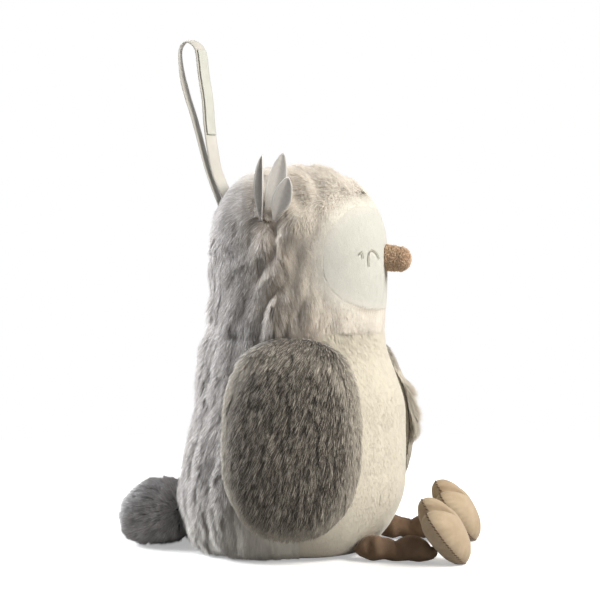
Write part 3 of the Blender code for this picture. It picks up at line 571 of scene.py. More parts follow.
def pile_tree():
    bench = TreeBench("plush pile", PILE_INPUTS, "Plush")
    given = bench.given

    def random(kind, low, high, more):
        return bench.random(kind, low, high, given["Seed"] * 10 + more)

    points, _ = bench.scattered(given["Backing"], given["Blades per square metre"], given["Seed"])
    spot = bench.node("GeometryNodeInputPosition")
    skin = bench.noted("skin", "FLOAT_VECTOR")
    combed = bench.noted("combed", "FLOAT_VECTOR")
    wild = bench.noted("wild")

    # Each lock is one cell of a Voronoi pattern, and its blades lean to the middle of the cell
    lock_size = given["Lock size"]
    cell_size = bench.join(lock_size, lock_size, lock_size * given["Lock stretch"])
    cell = {"Vector": spot / cell_size, "Scale": 1.0}
    middle, lock_colour = bench.node("ShaderNodeTexVoronoi", {}, cell, ("Position", "Color"))
    pull = middle * cell_size - spot
    pull = (pull - combed * pull.dot(combed)) * (given["Lock pull"] * wild)
    lock = lock_colour.dot((1, 0, 0))

    # The way of a blade along the skin, and how far it rises off it
    drift = {"Vector": spot / given["Sway size"], "Scale": 1.0, "Detail": 1.0}
    waves = bench.node("ShaderNodeTexNoise", {}, drift, "Color")
    length = given["Blade length"] * bench.noted("reach") * random("FLOAT", *LENGTH_RANGE, 1)
    way = combed + (waves - 0.5) * (given["Sway"] * wild * 2)
    way = way + random("FLOAT_VECTOR", (-1, -1, -1), (1, 1, 1), 2) * given["Stray"]
    way = way * length + pull
    way = way - skin * way.dot(skin)
    uneven = 1 + (lock - 0.5) * (given["Lock relief"] * wild.at_most(1.0) * 2)
    rise = length * bench.noted("stand") * random("FLOAT", *RISE_RANGE, 3) * uneven
    way = way.scaled_to(length) + skin * rise

    # Planting: Z along the blade, Y away from the skin, so that the ridge of the roof faces out
    turn = bench.aimed("Y", skin, bench.aimed("Z", way), "Z")
    width = given["Blade width"] * random("FLOAT", *WIDTH_RANGE, 4)
    points = bench.keep(points, "tint", random("FLOAT", 0.0, 1.0, 5))
    points = bench.keep(points, "lock", lock)
    kinds = bench.node("GeometryNodeGeometryToInstance", {}, {0: [bench.shape(kind) for kind in blades]})
    kind = random("INT", 0, len(blades) - 1, 6)
    size = bench.join(width, width, length)
    plush = bench.planted(
        points, kinds, turn, size, given["Backing"], pick_instance=True, instance_index=kind
    )

    # Nothing goes through the floor, and the shading is partly that of the smooth backing
    across, ahead, up = bench.split(spot)
    above = bench.join(across, ahead, up.at_least(given["Lowest"]))
    plush = bench.node("GeometryNodeSetPosition", {}, {"Geometry": plush, "Position": above})
    own = bench.node("GeometryNodeInputNormal")
    facing = own + (bench.noted("facing", "FLOAT_VECTOR") - own) * given["Softness"]
    plush = bench.node(
        "GeometryNodeSetMeshNormal", {"mode": "FREE", "domain": "POINT"}, {"Mesh": plush, "Custom Normal": facing}
    )
    return bench.finished("Plush", plush)


plush_pile = pile_tree()

# %% Kinds of pile, and how one is grown
PILE_COLUMNS = (
    "Blades per square metre",
    "Blade length",
    "Blade width",
    "Lock size",
    "Lock stretch",
    "Lock pull",
    "Lock relief",
    "Sway",
    "Stray",
    "Softness",
)
PILES = {
    "belly": (5e6, 3.4 * MM, 0.34 * MM, 4.0 * MM, 3.2, 0.02, 0.0, 0.05, 0.06, 0.97),
    "back": (9.5e6, 10 * MM, 0.3 * MM, 3.4 * MM, 3.2, 0.2, 0.5, 0.4, 0.18, 0.35),
    "face": (9e6, 1.5 * MM, 0.3 * MM, 3 * MM, 2.2, 0.0, 0.0, 0.05, 0.06, 0.97),
    "hood": (9.5e6, 9.5 * MM, 0.3 * MM, 3.4 * MM, 3.0, 0.2, 0.5, 0.7, 0.18, 0.35),
    "wing": (11e6, 9 * MM, 0.34 * MM, 1.9 * MM, 4.4, 0.17, 0.45, 0.2, 0.12, 0.4),
    "lining": (1.2e6, 2 * MM, 0.4 * MM, 3 * MM, 2.2, 0.2, 0.0, 0.3, 0.3, 0.75),
    "tail": (11e6, 7.5 * MM, 0.32 * MM, 2.3 * MM, 0.8, 0.3, 1.1, 0.9, 0.22, 0.05),
    "leg nap": (9e6, 1.1 * MM, 0.26 * MM, 3 * MM, 2.2, 0.1, 0.0, 0.8, 0.5, 0.6),
}


def grow(piece, pile, finish, seed, combed, stand, reach, pale=0.0, wild=1.0, tilt=0.0):
    """Combs the backing, then plants one kind of pile on it.

    Stand and reach are how far up and how long the pile is, pale is how white, wild is how far it
    strays into locks, and tilt turns its shading up.
    """
    mesh = piece.data
    skin = unit(get_numbers(mesh, "skin"))
    set_numbers(mesh, "facing", unit(skin + np.asarray(tilt)[..., None] * UP))
    set_numbers(mesh, "combed", unit(combed - skin * np.sum(combed * skin, axis=1, keepdims=True)))
    for label, value in (("stand", stand), ("reach", reach), ("pale", pale), ("wild", wild)):
        set_numbers(mesh, label, np.broadcast_to(value, len(skin)))
    values = dict(zip(PILE_COLUMNS, PILES[pile])) | {"Seed": seed, "Finish": finish}
    return apply_tree(piece, plush_pile, values)


def brushed(points, way):
    """The same way for all points."""
    return np.broadcast_to(np.array(way, float), points.shape)


def settle(piece, body, node):
    """Says what carries a finished piece, and hides the solid that it stands for."""
    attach(piece, body)
    if node:
        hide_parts(node)


# %% [markdown]
# The material reads how far along its fibre a point is and mixes root and tip colours: the dark roots
# are painted shade down in the pile and the light tips a painted highlight, partly also the fibre's own
# tipped colour. It then shifts the colours a little for each lock and each fibre, as no two locks are
# quite the same. The front and the top of the owl have a lighter, warmer pair of colours and the back a
# darker, cooler one: partly the plush's own two tones, partly painted light from the warm front lamp and
# painted shade on the sides turned away from it. A few single strands are lighter than the rest.

# %% Plush finish
# Where the lighter, warmer front-and-top pair takes over: partly the plush's own tone, partly painted light from
# the front lamp, with painted shade behind
WARM_HEIGHT = 165 * MM
WARM_SPAN = 28 * MM
WARM_SLOPE = 0.25
ROOT_SHARE = 0.7
GREY_HAIR_START = 4.6
GREY_HAIR_SLOPE = 7


def plush_finish(
    name, root, tip, pale, patch=0.0, patch_size=20 * MM, front_tone_and_light=None, grey_hairs=None, tufts=0.16
):
    """A pile's material.

    Patch is how much slow clouds of this size shade it, the second pair of root and tip colours is
    lighter and warmer for the front and the top (partly the plush's own tone, partly painted light),
    grey hairs are the colour of the lighter strands, and tufts is how much locks differ.
    """
    made, bench, place = new_finish(name)
    along = bench.attribute("along") ** ROOT_SHARE
    tint = bench.attribute("tint")
    lock = bench.attribute("lock")
    # Dark roots: painted shade down in the pile; light tips: painted highlight, partly the fibre's own tipped
    # colour
    colour = bench.mix(along, root, tip)
    # Front and top get the lighter, warmer pair, partly painted light; the back keeps the darker pair, partly
    # painted shade
    if front_tone_and_light:
        _, ahead, up = bench.split(place)
        front = ((up - WARM_HEIGHT) * WARM_SLOPE - ahead) / WARM_SPAN + 1.0
        colour = bench.mix(front.clipped(), colour, bench.mix(along, *front_tone_and_light))
    if grey_hairs:
        colour = bench.mix((tint * GREY_HAIR_SLOPE - GREY_HAIR_START).clipped() * along, colour, grey_hairs)
    colour = bench.mix(bench.attribute("pale").clipped(), colour, pale)
    cloud = bench.noise(place, patch_size)
    shade = 1 - tufts + tint * tufts + lock * tufts + (cloud - 0.5) * patch
    close_finish(bench, colour * shade, 0.85, sheen_weight=0.4, sheen_roughness=0.6, specular_ior_level=0.15)
    return made


# Its darker back colours are partly painted shade, its lighter front and top pair partly painted light
long_plush = plush_finish(
    "long plush",
    paint(78, 71, 65),
    paint(176, 170, 166),
    paint(245, 241, 231),
    patch=0.12,
    front_tone_and_light=(paint(166, 149, 131), paint(238, 226, 210)),
    grey_hairs=paint(234, 231, 228),
)
belly_plush = plush_finish(
    "belly plush", paint(226, 219, 202), paint(238, 231, 215), paint(240, 236, 226), patch=0.02, tufts=0.05
)
face_plush = plush_finish(
    "face plush", paint(220, 220, 211), paint(230, 230, 223), paint(234, 232, 224), patch=0.02, tufts=0.05
)
# The dark wing plush is partly painted shade; its pale colour serves the rims and, as painted light, the left
# wing's front edge
wing_plush = plush_finish(
    "wing plush",
    paint(38, 33, 29),
    paint(94, 87, 79),
    paint(216, 208, 194),
    patch=0.24,
    grey_hairs=paint(206, 198, 186),
)
tail_plush = plush_finish(
    "tail plush",
    paint(46, 43, 41),
    paint(206, 203, 202),
    paint(210, 208, 206),
    patch=0.5,
    patch_size=8 * MM,
    grey_hairs=paint(220, 218, 216),
    tufts=0.3,
)
lining_plush = plush_finish(
    "lining plush", paint(170, 162, 150), paint(206, 198, 187), paint(210, 204, 194), patch=0.06
)
print("6 plush finishes")

# %% [markdown]
# ## Torso
# The belly and the two back panels are one squarish barrel, cut where the panels are sewn. Each is a
# smooth backing with its own pile: short and cream on the belly, long and grey-beige on the back. Pile
# is brushed down, and lies flat where a wing presses on it.

# %% Torso shape, as the solids have it
PLUSH_BACKING = 1.6 * MM
SEAM_GAP = 0.3 * MM
TORSO_HEIGHT = 117 * MM
TORSO_HALF_WIDTH = 57 * MM
TORSO_BACK_DEPTH = 55.5 * MM
TORSO_FRONT_DEPTH = 56 * MM
TORSO_SQUARENESS = 2.3
TORSO_COLUMNS = 32
BELLY_COLUMNS = 14
TORSO_RING_SHARES = (
    (0.000, 0.60, 0.655, 0.570),
    (0.018, 0.75, 0.790, 0.690),
    (0.050, 0.85, 0.895, 0.760),
    (0.138, 0.95, 0.983, 0.893),
    (0.250, 1.00, 1.000, 0.982),
    (0.385, 1.00, 0.955, 1.000),
    (0.515, 0.97, 0.893, 1.000),
    (0.650, 0.93, 0.860, 0.985),
    (0.785, 0.88, 0.845, 0.893),
    (0.915, 0.82, 0.820, 0.785),
    (1.000, 0.79, 0.770, 0.765),
)
SKIN_STEP = 0.05 * MM


def torso_sizes(height):
    share = np.asarray(height) / TORSO_HEIGHT
    return (
        TORSO_HALF_WIDTH * through(TORSO_RING_SHARES, 1, share),
        TORSO_BACK_DEPTH * through(TORSO_RING_SHARES, 2, share),
        TORSO_FRONT_DEPTH * through(TORSO_RING_SHARES, 3, share),
    )


def torso_field(points):
    """1 on the torso's skin, less inside it."""
    width, back, front = torso_sizes(points[..., 2])
    depth = np.where(points[..., 1] > 0, back, front)
    power = TORSO_SQUARENESS
    return np.abs(points[..., 0] / width) ** power + np.abs(points[..., 1] / depth) ** power


def outward(field, points):
    """The way out of a body at points on its skin."""
    slope = []
    for axis in np.eye(3) * SKIN_STEP:
        slope.append(field(points + axis) - field(points - axis))
    return unit(np.stack(slope, -1))


def torso_place(column, height, lift):
    """Points round the torso: column 0 is the middle of the belly, lift is off the skin."""
    column, height = np.broadcast_arrays(column, height)
    turn = 2 * math.pi * column / TORSO_COLUMNS
    width, back, front = torso_sizes(height)
    side = np.sin(turn)
    ahead = np.cos(turn)
    depth = np.where(ahead > 0, front, back)
    power = TORSO_SQUARENESS
    reach = (np.abs(side / width) ** power + np.abs(ahead / depth) ** power) ** (-1 / power)
    points = np.stack([reach * side, -reach * ahead, height], -1)
    return points + outward(torso_field, points) * lift


# %% Where the wings lie, so that the pile under them stays down
WING_TOP_DROP = 7 * MM
WING_HEM_HEIGHT = 17 * MM
WING_WIDTH = 64 * MM
WING_SQUARENESS = {"left": 2.0, "right": 2.5}
WING_AHEAD = {"left": math.radians(28), "right": math.radians(8.5)}
WING_TOP = TORSO_HEIGHT - WING_TOP_DROP


def wing_cover(side, points):
    """How far out on a wing's outline points of the flank lie: 0 in its middle, 1 at its edge."""
    angle = WING_AHEAD[side]
    across = SIDES[side] * points[:, 0]
    forward = -across * math.sin(angle) - points[:, 1] * math.cos(angle)
    up = 1 - 2 * (WING_TOP - points[:, 2]) / (WING_TOP - WING_HEM_HEIGHT)
    power = WING_SQUARENESS[side]
    share = (np.abs(forward / (WING_WIDTH / 2)) ** power + np.abs(up) ** power) ** (1 / power)
    return np.where(across > 0, share, 9.0)


# %% Backings of the torso, and their pile
BACK_LUMP = 0.6 * MM
BACK_LUMP_SIZES = (11 * MM, 11 * MM, 52 * MM)
BACK_LUMP_SEED = 5
EDGE = BELLY_COLUMNS // 2
TORSO_ROWS = 64
POINTS_PER_COLUMN = 5
LOW_ROWS = 1.25
FREE_OF_WING = (0.9, 1.12)
FREE_OF_SEAT = (0.0, 12 * MM)
NECK_SPAN = (TORSO_HEIGHT - 16 * MM, TORSO_HEIGHT)
UNDER_HOOD = (TORSO_HEIGHT - 7 * MM, TORSO_HEIGHT)
BELLY_TOP = (TORSO_HEIGHT - 20 * MM, TORSO_HEIGHT - 3 * MM)
BELLY_TOP_SHADING = (TORSO_HEIGHT - 22 * MM, TORSO_HEIGHT - 2 * MM)
# Angles round the torso from its front, from high to low, between which a thing fades in
CLIPPED_BESIDE_SEAM = (2.0, 1.42)
PALE_BESIDE_SEAM = ((2.5, 1.6), (48 * MM, 12 * MM), 1.0)
PALE_FURTHER_BACK = ((3.0, 2.3), (34 * MM, 12 * MM), 0.45)


def torso_backing(name, first, last):
    """The cloth of a panel between two columns; long pile also gets slow lumps away from the seams."""
    ease = SEAM_GAP / 2 / TORSO_HALF_WIDTH * TORSO_COLUMNS / (2 * math.pi)
    columns = np.linspace(first + ease, last - ease, (last - first) * POINTS_PER_COLUMN)
    heights = np.linspace(0, 1, TORSO_ROWS) ** LOW_ROWS * (TORSO_HEIGHT - SEAM_GAP / 2)
    outer = torso_place(columns[None, :], heights[:, None], 0.0)
    inner = torso_place(columns[None, :], heights[:, None], -PLUSH_BACKING)
    if max(abs(first), abs(last)) > EDGE:
        inside = smooth_step(EDGE, EDGE + 1.5, np.abs(columns))[None]
        inside = smooth_step(0.0, 8 * MM, heights)[:, None] * inside
        waves = lumps(outer, BACK_LUMP_SIZES, BACK_LUMP_SEED)
        outer = torso_place(columns[None, :], heights[:, None], BACK_LUMP * (waves * inside)[..., None])
    return shell(name, outer, inner)


def belly_pile(free, low, height):
    """Stand, reach, paleness and tilt: short and flat, and a little fuller where the chin rests on it."""
    top = smooth_step(*BELLY_TOP, height)
    stand = 0.1 * (0.12 + 0.88 * free) * (0.25 + 0.75 * low) + 0.35 * top
    reach = (0.55 + 0.45 * free) * (0.7 + 0.3 * low) + 0.7 * top
    return stand, reach, 0.0, 0.22 * smooth_step(*BELLY_TOP_SHADING, height)


def back_pile(free, low, height, around):
    """Long, clipped shorter beside the belly's seam and under the hood, and paler low beside the seam."""
    close = smooth_step(*CLIPPED_BESIDE_SEAM, around)
    stand = 0.46 * (0.12 + 0.88 * free) * (0.25 + 0.75 * low) * (1 - 0.45 * close)
    reach = (0.55 + 0.45 * free) * (0.7 + 0.3 * low)
    reach = reach * (1 - 0.8 * smooth_step(*UNDER_HOOD, height)) * (1 - 0.45 * close)
    pale = 0.0
    for angles, heights, amount in (PALE_BESIDE_SEAM, PALE_FURTHER_BACK):
        pale = np.maximum(pale, amount * smooth_step(*angles, around) * smooth_step(*heights, height))
    return stand, reach, pale, 0.0


TORSO_PANELS = (
    ("belly_plush_panel", "belly_panel", "belly", -EDGE, EDGE, 21),
    ("back_plush_left", "back_panel_left", "back", EDGE, TORSO_COLUMNS // 2, 22),
    ("back_plush_right", "back_panel_right", "back", -TORSO_COLUMNS // 2, -EDGE, 23),
)
for name, node, kind, first, last, seed in TORSO_PANELS:
    panel = torso_backing(name, first, last)
    points = places_of(panel.data)
    height = points[:, 2]
    free = smooth_step(*FREE_OF_WING, np.minimum(wing_cover("left", points), wing_cover("right", points)))
    low = smooth_step(*FREE_OF_SEAT, height) * (1 - 0.2 * smooth_step(*NECK_SPAN, height))
    if kind == "belly":
        finish = belly_plush
        stand, reach, pale, tilt = belly_pile(free, low, height)
    else:
        finish = long_plush
        around = np.abs(np.arctan2(points[:, 0], -points[:, 1]))
        stand, reach, pale, tilt = back_pile(free, low, height, around)
    grow(panel, kind, finish, seed, brushed(points, (0, 0, -1)), stand, reach, pale, tilt=tilt)
    settle(panel, "owl_body", node)

# %% [markdown]
# The seat is a plain oval of the belly cloth under the stuffing. Nobody sees it while the owl sits, so
# it gets the backing alone, gently domed up off its seam.

# %% Seat
SEAT_RINGS = 12

ring = torso_place(np.arange(TORSO_COLUMNS * 3) / 3, 0.0, 0.0)
flat = ring * (ACROSS + BACK)
reach = np.linalg.norm(flat, axis=1, keepdims=True)
layers = []
for height, inset in ((0.0, 2 * SEAM_GAP), (PLUSH_BACKING, 2 * SEAM_GAP + 1.5 * PLUSH_BACKING)):
    edge = flat * (reach - inset) / reach
    layer = edge[None] * np.linspace(0, 1, SEAT_RINGS)[:, None, None]
    layer[..., 2] = height
    layers.append(layer)
seat = shell("seat_panel", layers[1], layers[0], closes=True)
seat.data.materials.append(belly_plush)
settle(seat, "owl_body", "base_panel")

# %% [markdown]
# ## Head
# The head is a squarish egg that runs down into the neck. The face is one smooth short-piled panel, and
# two long-piled hood panels close round it and meet along the middle of the crown and the back.

# %% Head shape, as the solids have it
HEAD_MIDDLE = np.array([0.0, -1.5 * MM, TORSO_HEIGHT + 31 * MM])
HEAD_HALF_WIDTH = 46 * MM
HEAD_FRONT_DEPTH = 45 * MM
HEAD_BACK_DEPTH = 43 * MM
HEAD_CROWN_RISE = 48 * MM
HEAD_JAW_DROP = 85 * MM
HEAD_SQUARENESS = 2.5
HEAD_COLUMNS = 32
FACE_SIDE_ANGLE = math.radians(65)
FACE_BROW_ANGLE = math.radians(36)
FACE_CHIN_ANGLE = math.radians(27)
FACE_SQUARENESS = 2.8


def head_field(points):
    away = points - HEAD_MIDDLE
    depth = np.where(away[..., 1] > 0, HEAD_BACK_DEPTH, HEAD_FRONT_DEPTH)
    rise = np.where(away[..., 2] > 0, HEAD_CROWN_RISE, HEAD_JAW_DROP)
    sizes = np.stack([np.full(depth.shape, HEAD_HALF_WIDTH), depth, rise], -1)
    return np.sum(np.abs(away / sizes) ** HEAD_SQUARENESS, axis=-1)


def head_place(direction, lift):
    """The skin of the head in directions from its middle, lifted off."""
    reach = head_field(HEAD_MIDDLE + direction) ** (-1 / HEAD_SQUARENESS)
    points = HEAD_MIDDLE + direction * reach[..., None]
    return points + outward(head_field, points) * lift


def look(side, up):
    return np.stack([np.cos(up) * np.sin(side), -np.cos(up) * np.cos(side), np.sin(up)], -1)


def face_edge(column):
    """Side and up angle of the face panel's edge; column 0 is under the chin, left first."""
    turn = 2 * math.pi * np.asarray(column, float) / HEAD_COLUMNS
    side = squared(np.sin(turn), FACE_SQUARENESS)
    up = squared(-np.cos(turn), FACE_SQUARENESS)
    return side * FACE_SIDE_ANGLE, up * np.where(up > 0, FACE_BROW_ANGLE, FACE_CHIN_ANGLE)


def hood_direction(column, share):
    """From the face panel's edge straight back to the middle of the back of the head."""
    edge = look(*face_edge(column))
    around = unit(edge * (ACROSS + UP))
    start = np.arccos(-edge[..., 1])
    angle = start + (math.pi - start) * share
    return around * np.sin(angle)[..., None] - np.cos(angle)[..., None] * BACK


# %% [markdown]
# The embroidered eyes are planned before the face is combed, because stitches press the pile down.

# %% Strokes of the closed eyes
EYE_INNER = 0.36 * HEAD_HALF_WIDTH
EYE_WIDTH = 10.2 * MM
EYE_FOOT_RISE = -2.2 * MM
EYE_RISE = 8.1 * MM
EYE_STROKE_SHARES = ((1.0, 0.0), (1.03, 0.5), (0.96, 0.84), (0.74, 1.0), (0.38, 0.88), (0.0, 0.5))
LASH_INNER = 0.667 * HEAD_HALF_WIDTH
LASH_WIDTH = 2.0 * MM
LASH_FOOT_RISE = 1.8 * MM
LASH_RISE = 3.2 * MM
LASH_STROKE_SHARES = ((0.0, 0.0), (0.12, 0.7), (0.45, 1.0), (1.0, 0.6))
ROUTE_STEPS = 12


def smooth_route(marks, count):
    """Evenly spaced points along a smooth curve through the marks."""
    marks = np.asarray(marks, float)
    fine = []
    for here in range(len(marks) - 1):
        before = marks[max(here - 1, 0)]
        start = marks[here]
        end = marks[here + 1]
        after = marks[min(here + 2, len(marks) - 1)]
        for along in np.arange(ROUTE_STEPS) / ROUTE_STEPS:
            bend = (2 * before - 5 * start + 4 * end - after) * along**2
            swing = (3 * start - before - 3 * end + after) * along**3
            fine.append(0.5 * (2 * start + (end - before) * along + bend + swing))
    fine = np.array([*fine, marks[-1]])
    lengths = np.concatenate([[0], np.cumsum(np.linalg.norm(np.diff(fine, axis=0), axis=1))])
    wanted = np.linspace(0, lengths[-1], count)
    return np.stack([np.interp(wanted, lengths, fine[:, axis]) for axis in range(3)], -1)


def stroke(sign, marks, count):
    """A stroke on the face, from marks given sideways and up from its middle, with its normals."""
    route = smooth_route([(sideways, 0, up) for sideways, up in marks], count)
    power = HEAD_SQUARENESS
    flat = np.abs(route[:, 0] / HEAD_HALF_WIDTH) ** power + np.abs(route[:, 2] / HEAD_CROWN_RISE) ** power
    depth = HEAD_FRONT_DEPTH * (1 - flat) ** (1 / power)
    points = HEAD_MIDDLE + np.stack([sign * route[:, 0], -depth, route[:, 2]], -1)
    return points, outward(head_field, points)


EYE_MARKS = [(EYE_INNER + EYE_WIDTH * a, EYE_FOOT_RISE + EYE_RISE * b) for a, b in EYE_STROKE_SHARES]
LASH_MARKS = [(LASH_INNER + LASH_WIDTH * a, LASH_FOOT_RISE + LASH_RISE * b) for a, b in LASH_STROKE_SHARES]
strokes = {}
for side, sign in SIDES.items():
    strokes["eye_" + side] = stroke(sign, EYE_MARKS, 40)
    strokes["lash_" + side] = stroke(sign, LASH_MARKS, 14)
stroke_points = np.concatenate([points for points, _ in strokes.values()])

# %% Face panel
FACE_ROWS = 44
POINTS_PER_HEAD_COLUMN = 4
PRESSED_BY_STITCH = (0.3 * MM, 1.1 * MM)
FACE_RIM = (0.8, 1.0)

ease = SEAM_GAP / 2 / HEAD_FRONT_DEPTH
side_angle, up_angle = face_edge(np.arange(HEAD_COLUMNS * POINTS_PER_HEAD_COLUMN) / POINTS_PER_HEAD_COLUMN)
shares = np.linspace(0, 1 - ease, FACE_ROWS)[:, None]
grids = [head_place(look(side_angle * shares, up_angle * shares), lift) for lift in (0.0, -PLUSH_BACKING)]
shares = np.broadcast_to(shares, grids[0].shape[:2])
face = shell("face_plush_panel", grids[0], grids[1], closes=True, notes={"share": shares})
points = places_of(face.data)
away = np.min(np.linalg.norm(points[:, None] - stroke_points[None], axis=2), axis=1)
open_pile = 0.15 + 0.85 * smooth_step(*PRESSED_BY_STITCH, away)
combed = brushed(points, (0, -0.1, -1)) + 0.2 * np.sign(points[:, :1]) * ACROSS
pale = smooth_step(*FACE_RIM, get_numbers(face.data, "share"))
grow(face, "face", face_plush, 31, combed, 0.16 * open_pile, 0.5 + 0.5 * open_pile, pale)
settle(face, "owl_body", "face_panel")

# %% [markdown]
# The hood panels reach from the face seam to the middle of the back of the head, and are cut off level
# at the neck. Their pile is brushed back over the crown and down the sides, with slow waves in it, and
# round the face it follows the seam. Where the felt feathers are pinched it spreads in a whorl.

# %% Where the felt feathers are pinched to the head
FELT_THICKNESS = 1.5 * MM
TUFT_RISE_SHARE = 0.42
TUFT_SETBACK_SHARE = 0.175
TUFT_CLEARANCE = 0.4 * MM


def tuft_root(sign, behind=0.0):
    power = HEAD_SQUARENESS
    setback = TUFT_SETBACK_SHARE + behind / HEAD_BACK_DEPTH
    width = HEAD_HALF_WIDTH * (1 - TUFT_RISE_SHARE**power - setback**power) ** (1 / power)
    away = (sign * width, setback * HEAD_BACK_DEPTH, TUFT_RISE_SHARE * HEAD_CROWN_RISE)
    point = HEAD_MIDDLE + np.array(away)
    return point + outward(head_field, point) * (TUFT_CLEARANCE + FELT_THICKNESS / 2)


# %% Backing of a hood panel
HOOD_LUMP = 0.35 * MM
HOOD_FRONT_LUMP = 1.0 * MM
HOOD_LUMP_SIZES = (12 * MM, 9 * MM, 30 * MM)
HOOD_LUMP_SLANT = math.radians(28)
HOOD_LUMP_SEED = 9
HOOD_FRONT_STEP = 1.2 * MM
HOOD_FRONT = (16 * MM, 2 * MM)
BELOW_CROWN = (190 * MM, 165 * MM)
NECK_HEIGHT = TORSO_HEIGHT + SEAM_GAP / 2
HALF_HEAD = HEAD_COLUMNS // 2
HOOD_ROWS = 56
HOOD_POINTS = 81
FRONT_ROWS = 0.9


def cut_below(piece, height):
    """Cuts a closed shell off level and closes the cut."""
    work = bmesh.new()
    work.from_mesh(piece.data)
    cut = bmesh.ops.bisect_plane(
        work,
        geom=[*work.verts, *work.edges, *work.faces],
        plane_co=(0, 0, height),
        plane_no=(0, 0, 1),
        clear_inner=True,
    )
    rim = [item for item in cut["geom_cut"] if isinstance(item, bmesh.types.BMEdge)]
    bmesh.ops.holes_fill(work, edges=rim, sides=0)
    bmesh.ops.triangulate(work, faces=[face for face in work.faces if len(face.verts) > 4])
    bmesh.ops.recalc_face_normals(work, faces=work.faces)
    work.to_mesh(piece.data)
    work.free()


def off_middle(grid, sign):
    """Keeps a panel on its own side of the middle seam."""
    grid[..., 0] = sign * np.maximum(sign * grid[..., 0], SEAM_GAP / 2)
    return grid


def hood_backing(side, sign):
    """A hood panel with slow slanted lumps, and a fold down its front from the feathers."""
    ends = (0, HALF_HEAD) if sign > 0 else (HALF_HEAD, HEAD_COLUMNS)
    columns = np.linspace(*ends, HOOD_POINTS)
    shares = (ease + (1 - ease) * np.linspace(0, 1, HOOD_ROWS) ** FRONT_ROWS)[:, None]
    directions = hood_direction(columns[None, :], shares)
    outer, inner = [off_middle(head_place(directions, lift), sign) for lift in (0.0, -PLUSH_BACKING)]
    slanted = outer @ np.array(Matrix.Rotation(HOOD_LUMP_SLANT, 3, "X"))
    waves = lumps(slanted, HOOD_LUMP_SIZES, HOOD_LUMP_SEED) * smooth_step(0.03, 0.16, shares)
    low_front = smooth_step(*HOOD_FRONT, outer[..., 1]) * smooth_step(*BELOW_CROWN, outer[..., 2])
    lift = waves * (HOOD_LUMP + (HOOD_FRONT_LUMP - HOOD_LUMP) * low_front)
    lift = lift + HOOD_FRONT_STEP * (low_front - 0.4) * smooth_step(0.05, 0.2, shares)
    outer = off_middle(outer + outward(head_field, outer) * lift[..., None], sign)
    shares = np.broadcast_to(shares, outer.shape[:2])
    hood = shell("hood_plush_" + side, outer, inner, notes={"share": shares})
    cut_below(hood, NECK_HEIGHT)
    return hood


# %% Combing of a hood panel
CROWN = (TORSO_HEIGHT + 40 * MM, TORSO_HEIGHT + 72 * MM)
BESIDE_FACE = (0.02, 0.13)
BROW = (0.35, 0.8)
FRONT_COMBED = (16 * MM, 0.0)
WHORL = (10 * MM, 2 * MM)
PINCHED = (2 * MM, 8 * MM)
HOOD_NECK = (NECK_HEIGHT + 14 * MM, NECK_HEIGHT + 2 * MM)
COLLAR = (NECK_HEIGHT + 24 * MM, NECK_HEIGHT + 3 * MM)
SHADED_NECK = (NECK_HEIGHT + 30 * MM, NECK_HEIGHT)
FRONT_HALF = (0.0, -25 * MM)
CHIN_AHEAD = (-12 * MM, -32 * MM)
CHIN_HEIGHT = (146 * MM, 132 * MM)
JAW = (-0.85, -0.35)
WHITE_RIM = (0.035, 0.085)
CHEEK = (0.08, 0.3)


def round_the_face(points, radial, sign):
    """The way beside the face panel: along its seam, and a little towards the face."""
    high_edge = np.maximum(radial[:, 2], 0)
    low_edge = np.maximum(-radial[:, 2], 0)
    way = np.stack([sign * high_edge, 0 * high_edge, -np.abs(radial[:, 0]) - low_edge], -1) - 0.4 * radial
    return unit(way)


def hood_combing(points, share, high, radial, root, sign):
    front = smooth_step(*FRONT_COMBED, points[:, 1]) * (1 - high)
    combed = unit(np.stack([0 * high, 0.1 + 1.2 * high - 0.5 * front, -np.ones(len(points))], -1))
    beside = (1 - smooth_step(*BESIDE_FACE, share)) * (1 - 0.95 * smooth_step(*BROW, radial[:, 2]))
    combed = combed * (1 - beside)[:, None] + round_the_face(points, radial, sign) * beside[:, None]
    whorl = 0.7 * smooth_step(*WHORL, np.linalg.norm(points - root, axis=1))[:, None]
    combed = combed * (1 - whorl) + unit(points - root) * whorl
    tucked = smooth_step(*HOOD_NECK, points[:, 2]) * smooth_step(*FRONT_HALF, points[:, 1])
    return combed + tucked[:, None] * np.array([0, 0.35, -0.8])


